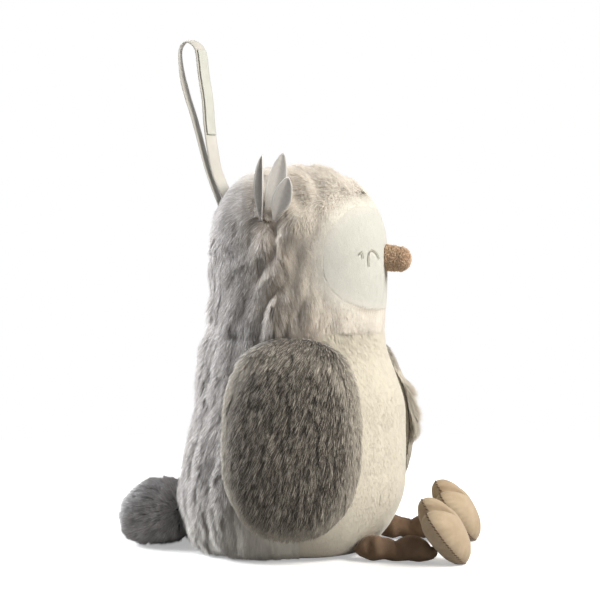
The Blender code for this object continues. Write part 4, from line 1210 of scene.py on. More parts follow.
# %% Hood panels
for side, sign in SIDES.items():
    hood = hood_backing(side, sign)
    points = places_of(hood.data)
    height = points[:, 2]
    share = get_numbers(hood.data, "share")
    high = smooth_step(*CROWN, height)
    radial = unit((points - HEAD_MIDDLE) * (ACROSS + UP))
    root = tuft_root(sign)
    combed = hood_combing(points, share, high, radial, root, sign)
    clear = 0.3 + 0.7 * smooth_step(*PINCHED, np.linalg.norm(points - root, axis=1))
    collar = smooth_step(*COLLAR, height) * smooth_step(*FRONT_HALF[::-1], points[:, 1])
    reach = (0.26 + 0.74 * smooth_step(0.02, 0.28, share)) * clear * (1 + 0.3 * collar)
    reach = np.maximum(reach, 0.6 * smooth_step(*HOOD_NECK, height))
    stand = 0.3 * (0.15 + 0.85 * smooth_step(0.0, 0.14, share)) + 0.3 * collar
    above_jaw = smooth_step(*JAW, radial[:, 2])
    chin = 0.4 * smooth_step(*CHIN_AHEAD, points[:, 1]) * smooth_step(*CHIN_HEIGHT, height)
    cheek = 0.4 * (1 - smooth_step(*CHEEK, share)) * above_jaw
    white = (1 - smooth_step(*WHITE_RIM, share)) * above_jaw
    pale = np.maximum(np.maximum(chin, cheek), white)
    wild = (0.1 + 0.9 * smooth_step(0.04, 0.34, share)) * (1 - 0.88 * high)
    tilt = 0.28 * smooth_step(*SHADED_NECK, height)
    grow(hood, "hood", long_plush, 41 if sign > 0 else 42, combed, stand, reach, pale, wild, tilt)
    settle(hood, "owl_body", "hood_" + side)

# %% [markdown]
# ## Beak
# The beak is a little sewn cone of brown looped cloth. Its loops could be a bump, but they break up the
# outline of so small a piece, so real loops of mesh are planted all over it.

# %% Beak cover
BEAK_RISE = 2.5 * MM
BEAK_RADIUS = 6.2 * MM
BEAK_LENGTH = 13 * MM
BEAK_DROOP = math.radians(7)
BEAK_WALL = 1.2 * MM
BEAK_PROFILE = ((-0.4, 0.95), (0.0, 1.0), (0.35, 1.0), (0.62, 0.9), (0.82, 0.68), (0.95, 0.36), (1.0, 0.0))
BEAK_ROUND_FROM = 0.6
BEAK_ROUND_START = 0.45
BEAK_BLUNTNESS = 2.4

root = head_place(look(np.array(0.0), np.array(math.asin(BEAK_RISE / HEAD_FRONT_DEPTH))), 0.0)
ahead = np.array([0, -math.cos(BEAK_DROOP), -math.sin(BEAK_DROOP)])
up = np.array([0, -math.sin(BEAK_DROOP), math.cos(BEAK_DROOP)])
turns = np.linspace(0, 2 * math.pi, 48, endpoint=False)
ring = np.cos(turns)[:, None] * ACROSS + np.sin(turns)[:, None] * up
along = np.linspace(0, 1, 26)
tip = np.clip((along - BEAK_ROUND_START) / (1 - BEAK_ROUND_START), 0, 1)
rounded = np.sqrt(np.clip(1 - tip**BEAK_BLUNTNESS, 0, 1))
wide = np.where(along > BEAK_ROUND_FROM, rounded, np.interp(along, *zip(*BEAK_PROFILE)))
grids = []
for inset in (0.0, BEAK_WALL):
    spine = root + ahead * ((BEAK_LENGTH - inset) * along)[:, None]
    grids.append(spine[:, None] + ring[None] * ((BEAK_RADIUS - inset) * wide)[:, None, None])
beak = shell("beak_looped_cover", grids[0], grids[1], closes=True)

# %% Beak finish
beak_loops, bench, place = new_finish("beak loops")
fleck = bench.noise(place, 1.2 * MM, 3.0)
colour = bench.mix((fleck * 1.6 - 0.3).clipped(), paint(200, 170, 141), paint(224, 198, 170))
colour = colour * (0.92 + bench.attribute("tint") * 0.22)
close_finish(bench, colour, 0.9, fleck, 0.3, sheen_weight=0.2)

# %% One yarn loop
LOOP_SIDES = 3
LOOP_STEPS = 7
LOOP_HALF_WIDTH = 0.5
LOOP_HEIGHT = 0.62
YARN_SHARE = 0.34
YARN_DEPTH = 0.17

points = []
faces = []
for step in range(LOOP_STEPS):
    turn = math.pi * step / (LOOP_STEPS - 1)
    out = np.array([math.cos(turn) * LOOP_HALF_WIDTH, 0.0, math.sin(turn) * LOOP_HEIGHT])
    for corner in range(LOOP_SIDES):
        twist = 2 * math.pi * corner / LOOP_SIDES
        points.append(out * (1 + YARN_SHARE * math.cos(twist)) + YARN_DEPTH * math.sin(twist) * BACK)
for step in range(LOOP_STEPS - 1):
    for corner in range(LOOP_SIDES):
        here = step * LOOP_SIDES + corner
        after = step * LOOP_SIDES + (corner + 1) % LOOP_SIDES
        faces.append((here, after, after + LOOP_SIDES, here + LOOP_SIDES))
loop_mesh = bpy.data.meshes.new("yarn_loop")
loop_mesh.from_pydata([tuple(point) for point in points], [], faces)
loop_mesh.shade_smooth()
yarn_loop = bpy.data.objects.new("yarn_loop", loop_mesh)
print("a yarn loop has", len(faces), "faces")

# %% The tree that plants yarn loops
LOOP_INPUTS = (
    ("Cover", "Geometry", None),
    ("Loops per square metre", "Float", 3.7e6),
    ("Loop size", "Float", 0.95 * MM),
    ("Seed", "Int", 3),
    ("Loop", "Object", None),
    ("Finish", "Material", None),
)
LOOP_SIZE_RANGE = (0.7, 1.25)
LOOP_TILT = 0.7
LOOP_SPIN = 3.1


def loop_tree():
    bench = TreeBench("yarn loops", LOOP_INPUTS, "Looped")
    given = bench.given
    points, turn = bench.scattered(given["Cover"], given["Loops per square metre"], given["Seed"])
    most = (LOOP_TILT, LOOP_TILT, LOOP_SPIN)
    least = tuple(-value for value in most)
    spin = bench.random("FLOAT_VECTOR", least, most, given["Seed"] + 1)
    turn = bench.spun(turn, bench.node("FunctionNodeEulerToRotation", {}, {0: spin}))
    points = bench.keep(points, "tint", bench.random("FLOAT", 0.0, 1.0, given["Seed"] + 2))
    size = given["Loop size"] * bench.random("FLOAT", *LOOP_SIZE_RANGE, given["Seed"] + 3)
    looped = bench.planted(points, bench.shape(given["Loop"]), turn, size, given["Cover"])
    return bench.finished("Looped", looped)


apply_tree(beak, loop_tree(), {"Loop": yarn_loop, "Finish": beak_loops, "Seed": 3})
settle(beak, "owl_body", "beak_cover")

# %% [markdown]
# ## Closed eyes
# Each eye is a stroke of satin stitch, which is a row of short slanted threads side by side. One long
# thread has the right place but not the look, so a tree lays the threads along the stroke. The same tree
# sews the seams of the feet later, with longer stitches.

# %% One stitch
STITCH_SIDES = 6
STITCH_RINGS = ((-0.5, 0.0), (-0.46, 0.6), (-0.25, 0.95), (0.25, 0.95), (0.46, 0.6), (0.5, 0.0))
STITCH_ARCH = 0.25


def stitch_mesh():
    """One short thread lying along X, thicker in its middle."""
    turns = np.linspace(0, 2 * math.pi, STITCH_SIDES, endpoint=False)
    rows = []
    for along, wide in STITCH_RINGS:
        arch = STITCH_ARCH * (1 - (2 * along) ** 2)
        across = np.cos(turns) * 0.5 * wide
        rows.append(np.stack([np.full(STITCH_SIDES, along), across, np.sin(turns) * 0.5 * wide + arch], -1))
    numbers = np.arange(len(rows) * STITCH_SIDES).reshape(len(rows), STITCH_SIDES)
    numbers = np.concatenate([numbers, numbers[:, :1]], axis=1)
    mesh = bpy.data.meshes.new("stitch")
    mesh.from_pydata(np.concatenate(rows).tolist(), [], squares(numbers).tolist())
    tidy_shell(mesh)
    return bpy.data.objects.new("stitch", mesh)


stitch = stitch_mesh()

# %% The tree that lays stitches along a line
STITCH_INPUTS = (
    ("Line", "Geometry", None),
    ("Spacing", "Float", 0.3 * MM),
    ("Length", "Float", 1.0 * MM),
    ("Thickness", "Float", 0.32 * MM),
    ("Slant", "Float", 1.2),
    ("Stitch", "Object", None),
    ("Finish", "Material", None),
)
STITCH_HEIGHT_SHARE = 1.5


def stitch_tree():
    """Lays stitches along a line whose points say which way is off the cloth."""
    bench = TreeBench("stitches", STITCH_INPUTS, "Stitched")
    given = bench.given
    line = bench.node("GeometryNodeMeshToCurve", {}, {0: given["Line"]})
    inputs = {"Curve": line, "Length": given["Spacing"]}
    wanted = ("Points", "Tangent")
    points, tangent = bench.node("GeometryNodeCurveToPoints", {"mode": "LENGTH"}, inputs, wanted)
    turn = bench.aimed("Z", bench.noted("skin", "FLOAT_VECTOR"), bench.aimed("X", tangent), "X")
    slant = bench.node("FunctionNodeAxisAngleToRotation", {}, {"Axis": (0, 0, 1), "Angle": given["Slant"]})
    thick = given["Thickness"]
    size = bench.join(given["Length"], thick, thick * STITCH_HEIGHT_SHARE)
    row = bench.planted(points, bench.shape(given["Stitch"]), bench.spun(turn, slant), size)
    return bench.finished("Stitched", row)


stitches = stitch_tree()


def sew(name, points, normals, finish, closes=False, **sizes):
    """A row of stitches along points."""
    mesh = bpy.data.meshes.new(name)
    count = len(points)
    edges = [(here, here + 1) for here in range(count - 1)] + ([(count - 1, 0)] if closes else [])
    mesh.from_pydata(points.tolist(), edges, [])
    set_numbers(mesh, "skin", normals)
    values = {"Stitch": stitch, "Finish": finish}
    values.update({label.capitalize(): value for label, value in sizes.items()})
    return apply_tree(new_piece(name, mesh), stitches, values)


# %% Eye strokes
EYE_STITCHES = {"length": 0.8 * MM, "spacing": 0.24 * MM, "thickness": 0.25 * MM}
EYE_LIFT = 0.75

eye_thread, bench, place = new_finish("eye thread")
twist = bench.noise(place, 0.25 * MM)
close_finish(
    bench, bench.mix(twist, paint(176, 173, 158), paint(206, 203, 188)), 0.5, twist, 0.3, sheen_weight=0.3
)
for name, (points, normals) in strokes.items():
    row = sew(name + "_stitches", points + normals * EYE_LIFT * MM, normals, eye_thread, **EYE_STITCHES)
    settle(row, "owl_body", name)

# %% [markdown]
# ## Felt feathers
# Three felt leaves stand on each side of the head, pinched together at their feet. The cut edge of felt
# is paler than its face, so the leaves have a real thickness and a rim of their own colour.

# %% Felt
felt, bench, place = new_finish("felt")
matted = bench.noise(place, 1.6 * MM, 6.0)
fleck = bench.noise(place, 0.35 * MM, 3.0)
colour = bench.mix((matted * 1.4 - 0.2).clipped(), paint(196, 193, 190), paint(216, 213, 209))
colour = bench.mix(bench.attribute("rim"), colour, paint(236, 234, 231))
close_finish(bench, colour * (0.92 + fleck * 0.16), 0.95, fleck, 0.5, 0.3 * MM, sheen_weight=0.3)

# %% Feathers
FEATHER_WIDTH = 10 * MM
FEATHER_ROOT_SPACING = 3.6 * MM
FEATHER_WIDTH_SHARES = ((0.0, 0.24), (0.2, 0.62), (0.5, 1.0), (0.8, 0.72), (1.0, 0.16))
FEATHER_TIP = (0.93, 1.0)
FEATHER_RIM = (0.76, 0.95)
FEATHER_TIP_RIM = (0.95, 1.0)
FOLD_SHARPNESS = 0.2
FOLD_DEPTH = 0.82
RIM_THINNING = 0.45
# Name, place ahead of or behind the pinch, length, lean back, lean out, turn and depth of the fold
FEATHERS = (
    ("rear", 0.8, 32.5 * MM, math.radians(-2), math.radians(7), math.radians(-15), 1.8),
    ("middle", 0.0, 34.5 * MM, math.radians(-12.5), math.radians(-3), math.radians(16), 0.25),
    ("front", -1.0, 23.5 * MM, math.radians(-21), math.radians(17), math.radians(12), 0.35),
)


def feather(side, name, place, length, lean_back, lean_out, turn, fold):
    """A leaf of felt, folded along its middle, with a paler rim."""
    sign = SIDES[side]
    root = tuft_root(sign, place * FEATHER_ROOT_SPACING)
    along = unit(np.array([sign * math.sin(lean_out), math.sin(lean_back), math.cos(lean_back)]))
    flat = np.array([sign * math.sin(turn), math.cos(turn), 0])
    flat = unit(flat - along * (flat @ along))
    normal = np.cross(along, flat) * sign
    shares = 1 - (1 - np.linspace(0, 1, 40)) ** 1.4
    wide = through(FEATHER_WIDTH_SHARES, 1, shares)
    wide = wide * np.sqrt(np.clip(1 - smooth_step(*FEATHER_TIP, shares) ** 2, 0.0, 1))
    half = FEATHER_WIDTH / 2 * wide / math.hypot(1, fold)
    across = np.linspace(-1, 1, 17)
    sideways = flat * (half[:, None] * across[None])[..., None]
    crease = np.sqrt(across**2 + FOLD_SHARPNESS**2) - FOLD_SHARPNESS
    bend = -crease[None] * fold * half[:, None] / FOLD_DEPTH
    spine = root + along * (length * shares)[:, None]
    middle = spine[:, None] + sideways + normal * bend[..., None]
    felt_half = normal * FELT_THICKNESS / 2 * (1 - RIM_THINNING * np.abs(across) ** 6)[None, :, None]
    rim = smooth_step(*FEATHER_RIM, np.abs(across))[None]
    rim = np.maximum(rim, smooth_step(*FEATHER_TIP_RIM, shares)[:, None])
    label = side + "_" + name
    piece = shell("feather_felt_" + label, middle + felt_half, middle - felt_half, notes={"rim": rim})
    piece.data.materials.append(felt)
    settle(piece, "tuft_" + side, "feather_" + label)


for side in SIDES:
    for row in FEATHERS:
        feather(side, *row)
print(2 * len(FEATHERS), "feathers")

# %% [markdown]
# ## Ribbon loop and label
# A woven ribbon is sewn into the back seam of the hood and stands up in a loop. It is a strip with a
# thickness that follows one smooth route; its own lengthways and sideways numbers carry the weave, so
# that the ribs follow the ribbon round. A bare satin label is sewn to its front strand.

# %% Ribbon route
LOOP_WIDTH = 10 * MM
RIBBON_THICKNESS = 1.0 * MM
LOOP_RISE = 93 * MM
LOOP_REACH = 25.5 * MM
LOOP_ROOT_ANGLES = (math.radians(32), math.radians(40))
LOOP_ROOT_CLEARANCE = 0.8 * MM
LOOP_ROUTE_SHARES = (
    (0.25, 0.175), (0.41, 0.31), (0.54, 0.445), (0.67, 0.57),
    (0.80, 0.68), (0.90, 0.79), (0.95, 0.90), (0.92, 0.96),
    (0.78, 0.99), (0.61, 0.97), (0.51, 0.92), (0.45, 0.79),
    (0.37, 0.65), (0.33, 0.51), (0.265, 0.38), (0.16, 0.24),
)
LOOP_REAR_TWIST = math.radians(4)
LOOP_FRONT_TWIST = math.radians(-20)
LOOP_TWIST_SPAN_SHARES = (0.38, 0.58)
LABEL_WIDTH = 8 * MM
LABEL_THICKNESS = 0.5 * MM
LABEL_SPAN_SHARES = (0.56, 0.80)
RIBBON_STEPS = 260
RIB = 0.55 * MM
WARP_THREADS = 14
RIBBON_COLUMNS = 9
EDGE_THINNING = 0.35
FRILL = 0.012

ends = []
for angle in LOOP_ROOT_ANGLES:
    ends.append(head_place(np.array([0.0, math.cos(angle), math.sin(angle)]), LOOP_ROOT_CLEARANCE))
marks = [ends[0]] + [ends[0] + np.array([0, LOOP_REACH * a, LOOP_RISE * b]) for a, b in LOOP_ROUTE_SHARES]
route = smooth_route([*marks, ends[1]], RIBBON_STEPS + 1)
steps = np.linspace(0, 1, RIBBON_STEPS + 1)
ahead = unit(np.gradient(route, axis=0))
blend = np.clip((steps - LOOP_TWIST_SPAN_SHARES[0]) / np.ptp(LOOP_TWIST_SPAN_SHARES), 0, 1)
twist = LOOP_REAR_TWIST + (LOOP_FRONT_TWIST - LOOP_REAR_TWIST) * blend
across = np.cos(twist)[:, None] * ACROSS - np.sin(twist)[:, None] * np.cross(ahead, ACROSS)
off = np.cross(across, ahead)
ribbon_length = float(np.sum(np.linalg.norm(np.diff(route, axis=0), axis=1)))
print("ribbon", round(ribbon_length / MM), "mm long")


# %% A strip along the route
def strip(name, first, last, width, low, high, frill=0.0):
    """A strip between two shares of the route, and between two heights off it."""
    here = slice(round(first * RIBBON_STEPS), round(last * RIBBON_STEPS) + 1)
    sides = np.linspace(-0.5, 0.5, RIBBON_COLUMNS)
    run = steps[here] * ribbon_length
    ripple = 1 + frill * np.sin(run / RIB)[:, None, None]
    grid = route[here][:, None] + across[here][:, None] * (sides * width)[None, :, None] * ripple
    notes = {"run": np.repeat(run[:, None], RIBBON_COLUMNS, 1), "side": np.repeat(sides[None], len(run), 0)}
    crown = 1 - EDGE_THINNING * (2 * np.abs(sides)) ** 4
    middle = (low + high) / 2
    half = (high - low) / 2 * crown[None, :, None]
    top = grid + off[here][:, None] * (middle + half)
    under = grid + off[here][:, None] * (middle - half)
    return shell(name, top, under, notes=notes)


# %% Woven ribbon
ribbon_weave, bench, place = new_finish("ribbon weave")
rib = (bench.attribute("run") * (2 * math.pi / RIB)).wave()
warp = (bench.attribute("side") * (2 * math.pi * WARP_THREADS)).wave()
weave = rib * 0.5 + warp * 0.35
cloud = bench.noise(place, 9 * MM)
colour = bench.mix((cloud * 1.3 - 0.15).clipped(), paint(198, 195, 187), paint(220, 217, 210))
close_finish(bench, colour * (0.97 + weave * 0.04), 0.62, weave, 0.45, 0.12 * MM, sheen_weight=0.15)
ribbon = strip("hang_ribbon", 0, 1, LOOP_WIDTH, -RIBBON_THICKNESS / 2, RIBBON_THICKNESS / 2, FRILL)
ribbon.data.materials.append(ribbon_weave)
settle(ribbon, "loop", "hang_loop")

# %% Bare satin label
SATIN_RIB = 0.35 * MM

label_satin, bench, place = new_finish("label satin")
fine = (bench.attribute("run") * (2 * math.pi / SATIN_RIB)).wave()
wrinkle = bench.noise(place, 5 * MM, 3.0)
colour = bench.mix(wrinkle, paint(190, 192, 182), paint(212, 213, 205))
close_finish(bench, colour, 0.38 + wrinkle * 0.1, fine * 0.3 + wrinkle * 3.0, 0.3, 0.15 * MM)
low = -RIBBON_THICKNESS / 2 - SEAM_GAP
label = strip("satin_label", *LABEL_SPAN_SHARES, LABEL_WIDTH, low - LABEL_THICKNESS, low)
label.data.materials.append(label_satin)
settle(label, "loop", "care_label")

# %% [markdown]
# ## Wings
# A wing is an egg-shaped flap, sewn along its top edge and quilted with a little wadding. The outside is
# dark plush with paler tips, brushed down and back, and the inside is a short-piled lining.

# %% Wing shape, as the solids have it
WING_THICKNESS = 10 * MM
WING_EDGE_THICKNESS = 2.8 * MM
WING_LINING_THICKNESS = 1.0 * MM
WING_COVER_THICKNESS = 1.2 * MM
WING_SEAM_CLEARANCE = 0.6 * MM
WING_HEM_CLEARANCE = 1.6 * MM
WING_WRAP_RADIUS = 1.636 * max(TORSO_FRONT_DEPTH, TORSO_BACK_DEPTH) ** 2 / TORSO_HALF_WIDTH
FAR_WING_FOOT = (54 * MM, 62 * MM)
FAR_WING_HEAD = (94 * MM, 82 * MM)


def wing_surface(side, forward, height):
    angle = WING_AHEAD[side]
    width, _, front = torso_sizes(height)
    power = TORSO_SQUARENESS
    flank = ((math.cos(angle) / width) ** power + (math.sin(angle) / front) ** power) ** (-1 / power)
    out = flank * np.sqrt(1 - (forward / WING_WRAP_RADIUS) ** 2)
    across = out * math.cos(angle) - forward * math.sin(angle)
    ahead = out * math.sin(angle) + forward * math.cos(angle)
    return np.stack([SIDES[side] * across, -ahead, np.broadcast_to(height, ahead.shape)], -1)


def wing_place(side, turn, share, lift):
    ahead = squared(np.cos(turn), WING_SQUARENESS[side])
    up = squared(np.sin(turn), WING_SQUARENESS[side])
    drop = (1 - up * share) / 2
    height = WING_TOP - (WING_TOP - WING_HEM_HEIGHT) * drop
    forward = WING_WIDTH / 2 * ahead * share
    point = wing_surface(side, forward, height)
    along = wing_surface(side, forward + SKIN_STEP, height) - point
    rise = wing_surface(side, forward, height + SKIN_STEP) - point
    normal = unit(np.cross(rise, along))
    normal = normal * np.sign(normal[..., :1] * SIDES[side])
    clearance = WING_SEAM_CLEARANCE + (WING_HEM_CLEARANCE - WING_SEAM_CLEARANCE) * drop
    return point + normal * (clearance + lift)[..., None]


def wing_thickness(share):
    return WING_EDGE_THICKNESS + (WING_THICKNESS - WING_EDGE_THICKNESS) * np.sqrt(np.clip(1 - share**2, 0, 1))


# %% Wing covers and linings
RAGGED_SIZES = (5 * MM, 5 * MM, 9 * MM)
RAGGED_SEED = 17
WING_RIM = (0.72, 0.93)
WING_SEAM = (WING_TOP - 12 * MM, WING_TOP - 4 * MM)
WING_HEAD = (WING_TOP - 6 * MM, WING_TOP)
FAR_EDGE = (0.5, 0.85)
FAR_WING_FOOT = (54 * MM, 62 * MM)
FAR_WING_HEAD = (94 * MM, 82 * MM)

turns = np.linspace(0, 2 * math.pi, 120, endpoint=False)[None, :]
shares = np.sin(np.linspace(0, math.pi / 2, 26))[:, None]
shares, turns = np.broadcast_arrays(shares, turns)
thick = wing_thickness(shares)
for side, sign in SIDES.items():
    outer = wing_place(side, turns, shares, thick)
    inner = wing_place(side, turns, shares, thick - WING_COVER_THICKNESS)
    notes = {"share": shares, "ahead": shares * squared(np.cos(turns), WING_SQUARENESS[side])}
    cover = shell("wing_plush_" + side, outer, inner, closes=True, notes=notes)
    points = places_of(cover.data)
    height = points[:, 2]
    ragged = lumps(points, RAGGED_SIZES, RAGGED_SEED)
    rim = smooth_step(*WING_RIM, get_numbers(cover.data, "share") + 0.03 * ragged)
    top = smooth_step(*WING_HEAD, height)
    # The left wing's front edge shows past the belly: its fur is painted pale, a painted lit copy of the dark
    # wing plush where the front lamp falls, and it is fuller half way up and flat below
    shown = smooth_step(*FAR_EDGE, get_numbers(cover.data, "ahead")) if side == "left" else 0 * height
    bulge = shown * (smooth_step(*FAR_WING_FOOT, height) * smooth_step(*FAR_WING_HEAD, height) - 0.4)
    stand = np.maximum(0.32 - 0.1 * top - 0.1 * rim + 0.7 * bulge, 0.03)
    reach = np.maximum(1.0 - 0.3 * top - 0.3 * rim + 0.4 * bulge, 0.15)
    # The rims are paler cloth; the 0.85 share on the shown front edge of the left wing is painted light
    pale = np.maximum(0.55 * rim * (1 - 0.8 * smooth_step(*WING_SEAM, height)), 0.85 * shown)
    seed = 51 if sign > 0 else 52
    grow(cover, "wing", wing_plush, seed, brushed(points, (0, 0.36, -1)), stand, reach, pale, 1 + rim)
    settle(cover, "wing_" + side, "wing_" + side + "_cover")
    outer = wing_place(side, turns, shares, np.full(shares.shape, WING_LINING_THICKNESS))
    inner = wing_place(side, turns, shares, np.zeros(shares.shape))
    lining = shell("wing_lining_" + side, inner, outer, closes=True)
    combed = brushed(places_of(lining.data), (0, 0.3, -1))
    grow(lining, "lining", lining_plush, 53 if sign > 0 else 54, combed, 0.12, 1.0)
    settle(lining, "wing_" + side, "wing_" + side + "_lining")

# %% [markdown]
# ## Tail
# The tail is a plump paddle of two dark plush halves, sewn together round their rim and onto the back.

# %% Pillow halves
TAIL_SURFACE_CLEARANCE = 3 * MM
TAIL_LENGTH = 34.5 * MM
TAIL_WIDTH = 50 * MM
TAIL_TOP_RISE = 13.5 * MM
TAIL_BOTTOM_DROP = 14 * MM
TAIL_DROOP = math.radians(7)
TAIL_SQUARENESS = 2.6
PILLOW_POWER = 0.55
TAIL_POWERS = {"tail_top": 0.52, "tail_bottom": 0.26}


def dome(middle, across, along, outline, rise, inset, gap, shares, pucker=1.0, power=PILLOW_POWER):
    """One half of a pillow over a flat outline, as a grid from its middle out to its seam."""
    normal = unit(np.cross(across, along))
    height = (abs(rise) - inset) * (1 - shares**2) ** power
    height = np.repeat(height[:, None], len(outline), 1)
    height = np.maximum(height * pucker, gap / 2) * math.copysign(1, rise)
    reach = np.linalg.norm(outline, axis=1)
    kept = shares[:, None] * ((reach - inset) / reach)[None]
    flat = outline[None] * kept[..., None]
    return middle + across * flat[..., :1] + along * flat[..., 1:] + normal * height[..., None]


# %% Tail halves
TAIL_DROOPING_FUR = 0.25
TAIL_NEAR_FLOOR = (0.0, 8 * MM)

along = np.array([0, math.cos(TAIL_DROOP), -math.sin(TAIL_DROOP)])
height = TAIL_SURFACE_CLEARANCE + TAIL_BOTTOM_DROP * along[1] - TAIL_LENGTH / 2 * along[2]
_, back, _ = torso_sizes(height)
tail_root = np.array([0, float(back) + 2 * SEAM_GAP, height])
turns = np.linspace(0, 2 * math.pi, 96, endpoint=False)
wide = TAIL_WIDTH / 2 * squared(np.cos(turns), TAIL_SQUARENESS)
long = TAIL_LENGTH / 2 * squared(np.sin(turns), TAIL_SQUARENESS)
outline = np.stack([wide, long], -1)
shares = np.sin(np.linspace(0, math.pi / 2, 22))
middle = tail_root + along * TAIL_LENGTH / 2
for name, rise, seed in (("tail_top", TAIL_TOP_RISE, 61), ("tail_bottom", -TAIL_BOTTOM_DROP, 62)):
    grids = []
    for inset in (0.0, PLUSH_BACKING):
        grids.append(
            dome(middle, ACROSS, along, outline, rise, inset, SEAM_GAP, shares, power=TAIL_POWERS[name])
        )
    half = shell(name + "_plush", grids[0], grids[1], closes=True)
    points = places_of(half.data)
    combed = brushed(points, along - TAIL_DROOPING_FUR * UP)
    stand = 0.42 * (0.4 + 0.6 * smooth_step(*TAIL_NEAR_FLOOR, points[:, 2]))
    grow(half, "tail", tail_plush, seed, combed, stand, 0.85)
    settle(half, "tail", name + "_panel")

# %% [markdown]
# ## Legs and feet
# The legs are limp tubes of faux suede, creased where they fold, and each foot is a pillow with three
# toes, sewn from a sole and an upper. The seam draws the suede into small puckers, and its thread shows.

# %% Suede


def suede(name, dark, light, rubbed):
    made, bench, place = new_finish(name)
    nap = bench.noise(place, 0.5 * MM, 5.0)
    brushed = bench.noise(place, 7 * MM, 3.0)
    rub = bench.noise(place, 18 * MM, 1.0)
    colour = bench.mix((brushed * 1.5 - 0.25).clipped(), dark, light)
    colour = bench.mix((rub * 1.4 - 0.5).clipped() * 0.5, colour, rubbed)
    colour = colour * (0.95 + nap * 0.1)
    close_finish(bench, colour, 0.9, nap, 0.3, 0.15 * MM, sheen_weight=0.3, sheen_roughness=0.4)
    return made


foot_suede = suede("foot suede", paint(178, 157, 130), paint(202, 184, 158), paint(164, 138, 112))
# The legs take a darker copy of the foot suede: painted shade, for the same cloth where it lies in shade under
# the belly
leg_suede_painted_shade = suede("leg suede", paint(142, 115, 92), paint(176, 149, 123), paint(132, 104, 84))
seam_thread, bench, place = new_finish("seam thread")
colour = bench.mix(bench.noise(place, 1.0 * MM), paint(84, 62, 44), paint(122, 94, 68))
close_finish(bench, colour, 0.6, sheen_weight=0.2)

# %% Leg sleeves
LEG_SPACING = 66 * MM
LEG_ROOT_CLEARANCE = 2.5 * MM
LEG_LENGTH = 40 * MM
LEG_WIDTH = 13 * MM
LEG_HEIGHT = 11 * MM
SUEDE_THICKNESS = 1.2 * MM
LEG_PUFF = 0.28
LEG_RINGS = 70
LEG_CREASING = 0.08
LEG_RING_SHARES = (
    (0.00, 0.50, 0.28, 0.16),
    (0.07, 0.51, 0.70, 0.62),
    (0.20, 0.52, 1.00, 0.98),
    (0.36, 0.50, 0.98, 0.90),
    (0.50, 0.41, 0.90, 0.74),
    (0.66, 0.55, 0.96, 1.02),
    (0.82, 0.48, 0.88, 0.86),
    (0.93, 0.45, 0.56, 0.60),
    (1.00, 0.58, 0.30, 0.28),
)


def leg_root(sign):
    height = LEG_RING_SHARES[0][1] * LEG_HEIGHT
    width, _, front = torso_sizes(height)
    power = TORSO_SQUARENESS
    depth = front * (1 - (LEG_SPACING / 2 / width) ** power) ** (1 / power)
    return np.array([sign * LEG_SPACING / 2, -float(depth) - LEG_ROOT_CLEARANCE, height])


def leg_grid(root, inset, sign):
    """Rings along a leg, drawn in by two runs of creases, and puffed up on top."""
    along = np.linspace(0, 1, LEG_RINGS)
    rise = through(LEG_RING_SHARES, 1, along)
    wide = through(LEG_RING_SHARES, 2, along)
    tall = through(LEG_RING_SHARES, 3, along)
    route = np.stack([np.full(LEG_RINGS, root[0]), root[1] - LEG_LENGTH * along, LEG_HEIGHT * rise], -1)
    up = np.cross(unit(np.gradient(route, axis=0)), ACROSS)
    turns = np.linspace(0, 2 * math.pi, 48, endpoint=False)
    crease = np.sin(along * 34 + 1.3)[:, None] * np.cos(turns - 0.6 * sign)[None] ** 2
    crease = crease + 0.7 * np.sin(along[:, None] * 21 + 2.5 * np.cos(turns)[None] + 0.8)
    body = (smooth_step(0.0, 0.12, along) * smooth_step(1.0, 0.9, along))[:, None]
    drawn = 1 - LEG_CREASING * (crease + 0.7) * body
    sideways = (LEG_WIDTH / 2 * wide - inset)[:, None] * np.cos(turns)[None] * drawn
    upward = (LEG_HEIGHT / 2 * tall - inset)[:, None] * np.sin(turns)[None] * drawn
    upward = np.where(upward > 0, upward * (1 + LEG_PUFF * body), upward)
    return route[:, None] + ACROSS * sideways[..., None] + up[:, None] * upward[..., None]


for side, sign in SIDES.items():
    root = leg_root(sign)
    outer, inner = [leg_grid(root, inset, sign) for inset in (0.0, SUEDE_THICKNESS / 2)]
    sleeve = shell("leg_suede_" + side, outer, inner, closes=True)
    points = places_of(sleeve.data)
    stand = 0.5 * smooth_step(0.0, 3 * MM, points[:, 2])
    seed = 71 if sign > 0 else 72
    grow(sleeve, "leg nap", leg_suede_painted_shade, seed, brushed(points, (0, -0.4, -1)), stand, 1.0)
    settle(sleeve, "leg_" + side, "leg_" + side + "_sleeve")

# %% Feet
FOOT_LENGTH = 37.5 * MM
FOOT_WIDTH = 37 * MM
FOOT_SOLE_RISE = 10 * MM
FOOT_UPPER_RISE = 8.5 * MM
FOOT_LEAN = math.radians(35)
ANKLE_TURNS = 12
TOE_VALLEYS = (67, 113)
VALLEY_WIDTH = 9.0
VALLEY_DEPTH = 0.42
FOOT_POINTS = 240
SEAM_PUCKERS = 34
SEAM_PUCKER = 0.12
FOOT_DENTS = 11
FOOT_DENT = 0.06
THREAD_INSET = 0.15 * MM
FOOT_STITCHES = {"length": 1.9 * MM, "spacing": 1.9 * MM, "thickness": 0.5 * MM, "slant": 0.6}
PILLOW_ROW_SHARES = (0.0, 0.35, 0.64, 0.86, 1.0)
FOOT_OUTLINE_SHARES = (
    (90, 1.00),
    (77, 0.92),
    (67, 0.66),
    (56, 0.76),
    (46, 0.93),
    (35, 1.00),
    (20, 0.96),
    (-2, 0.87),
    (-26, 0.82),
    (-50, 0.87),
    (-71, 0.96),
    (-90, 1.00),
)


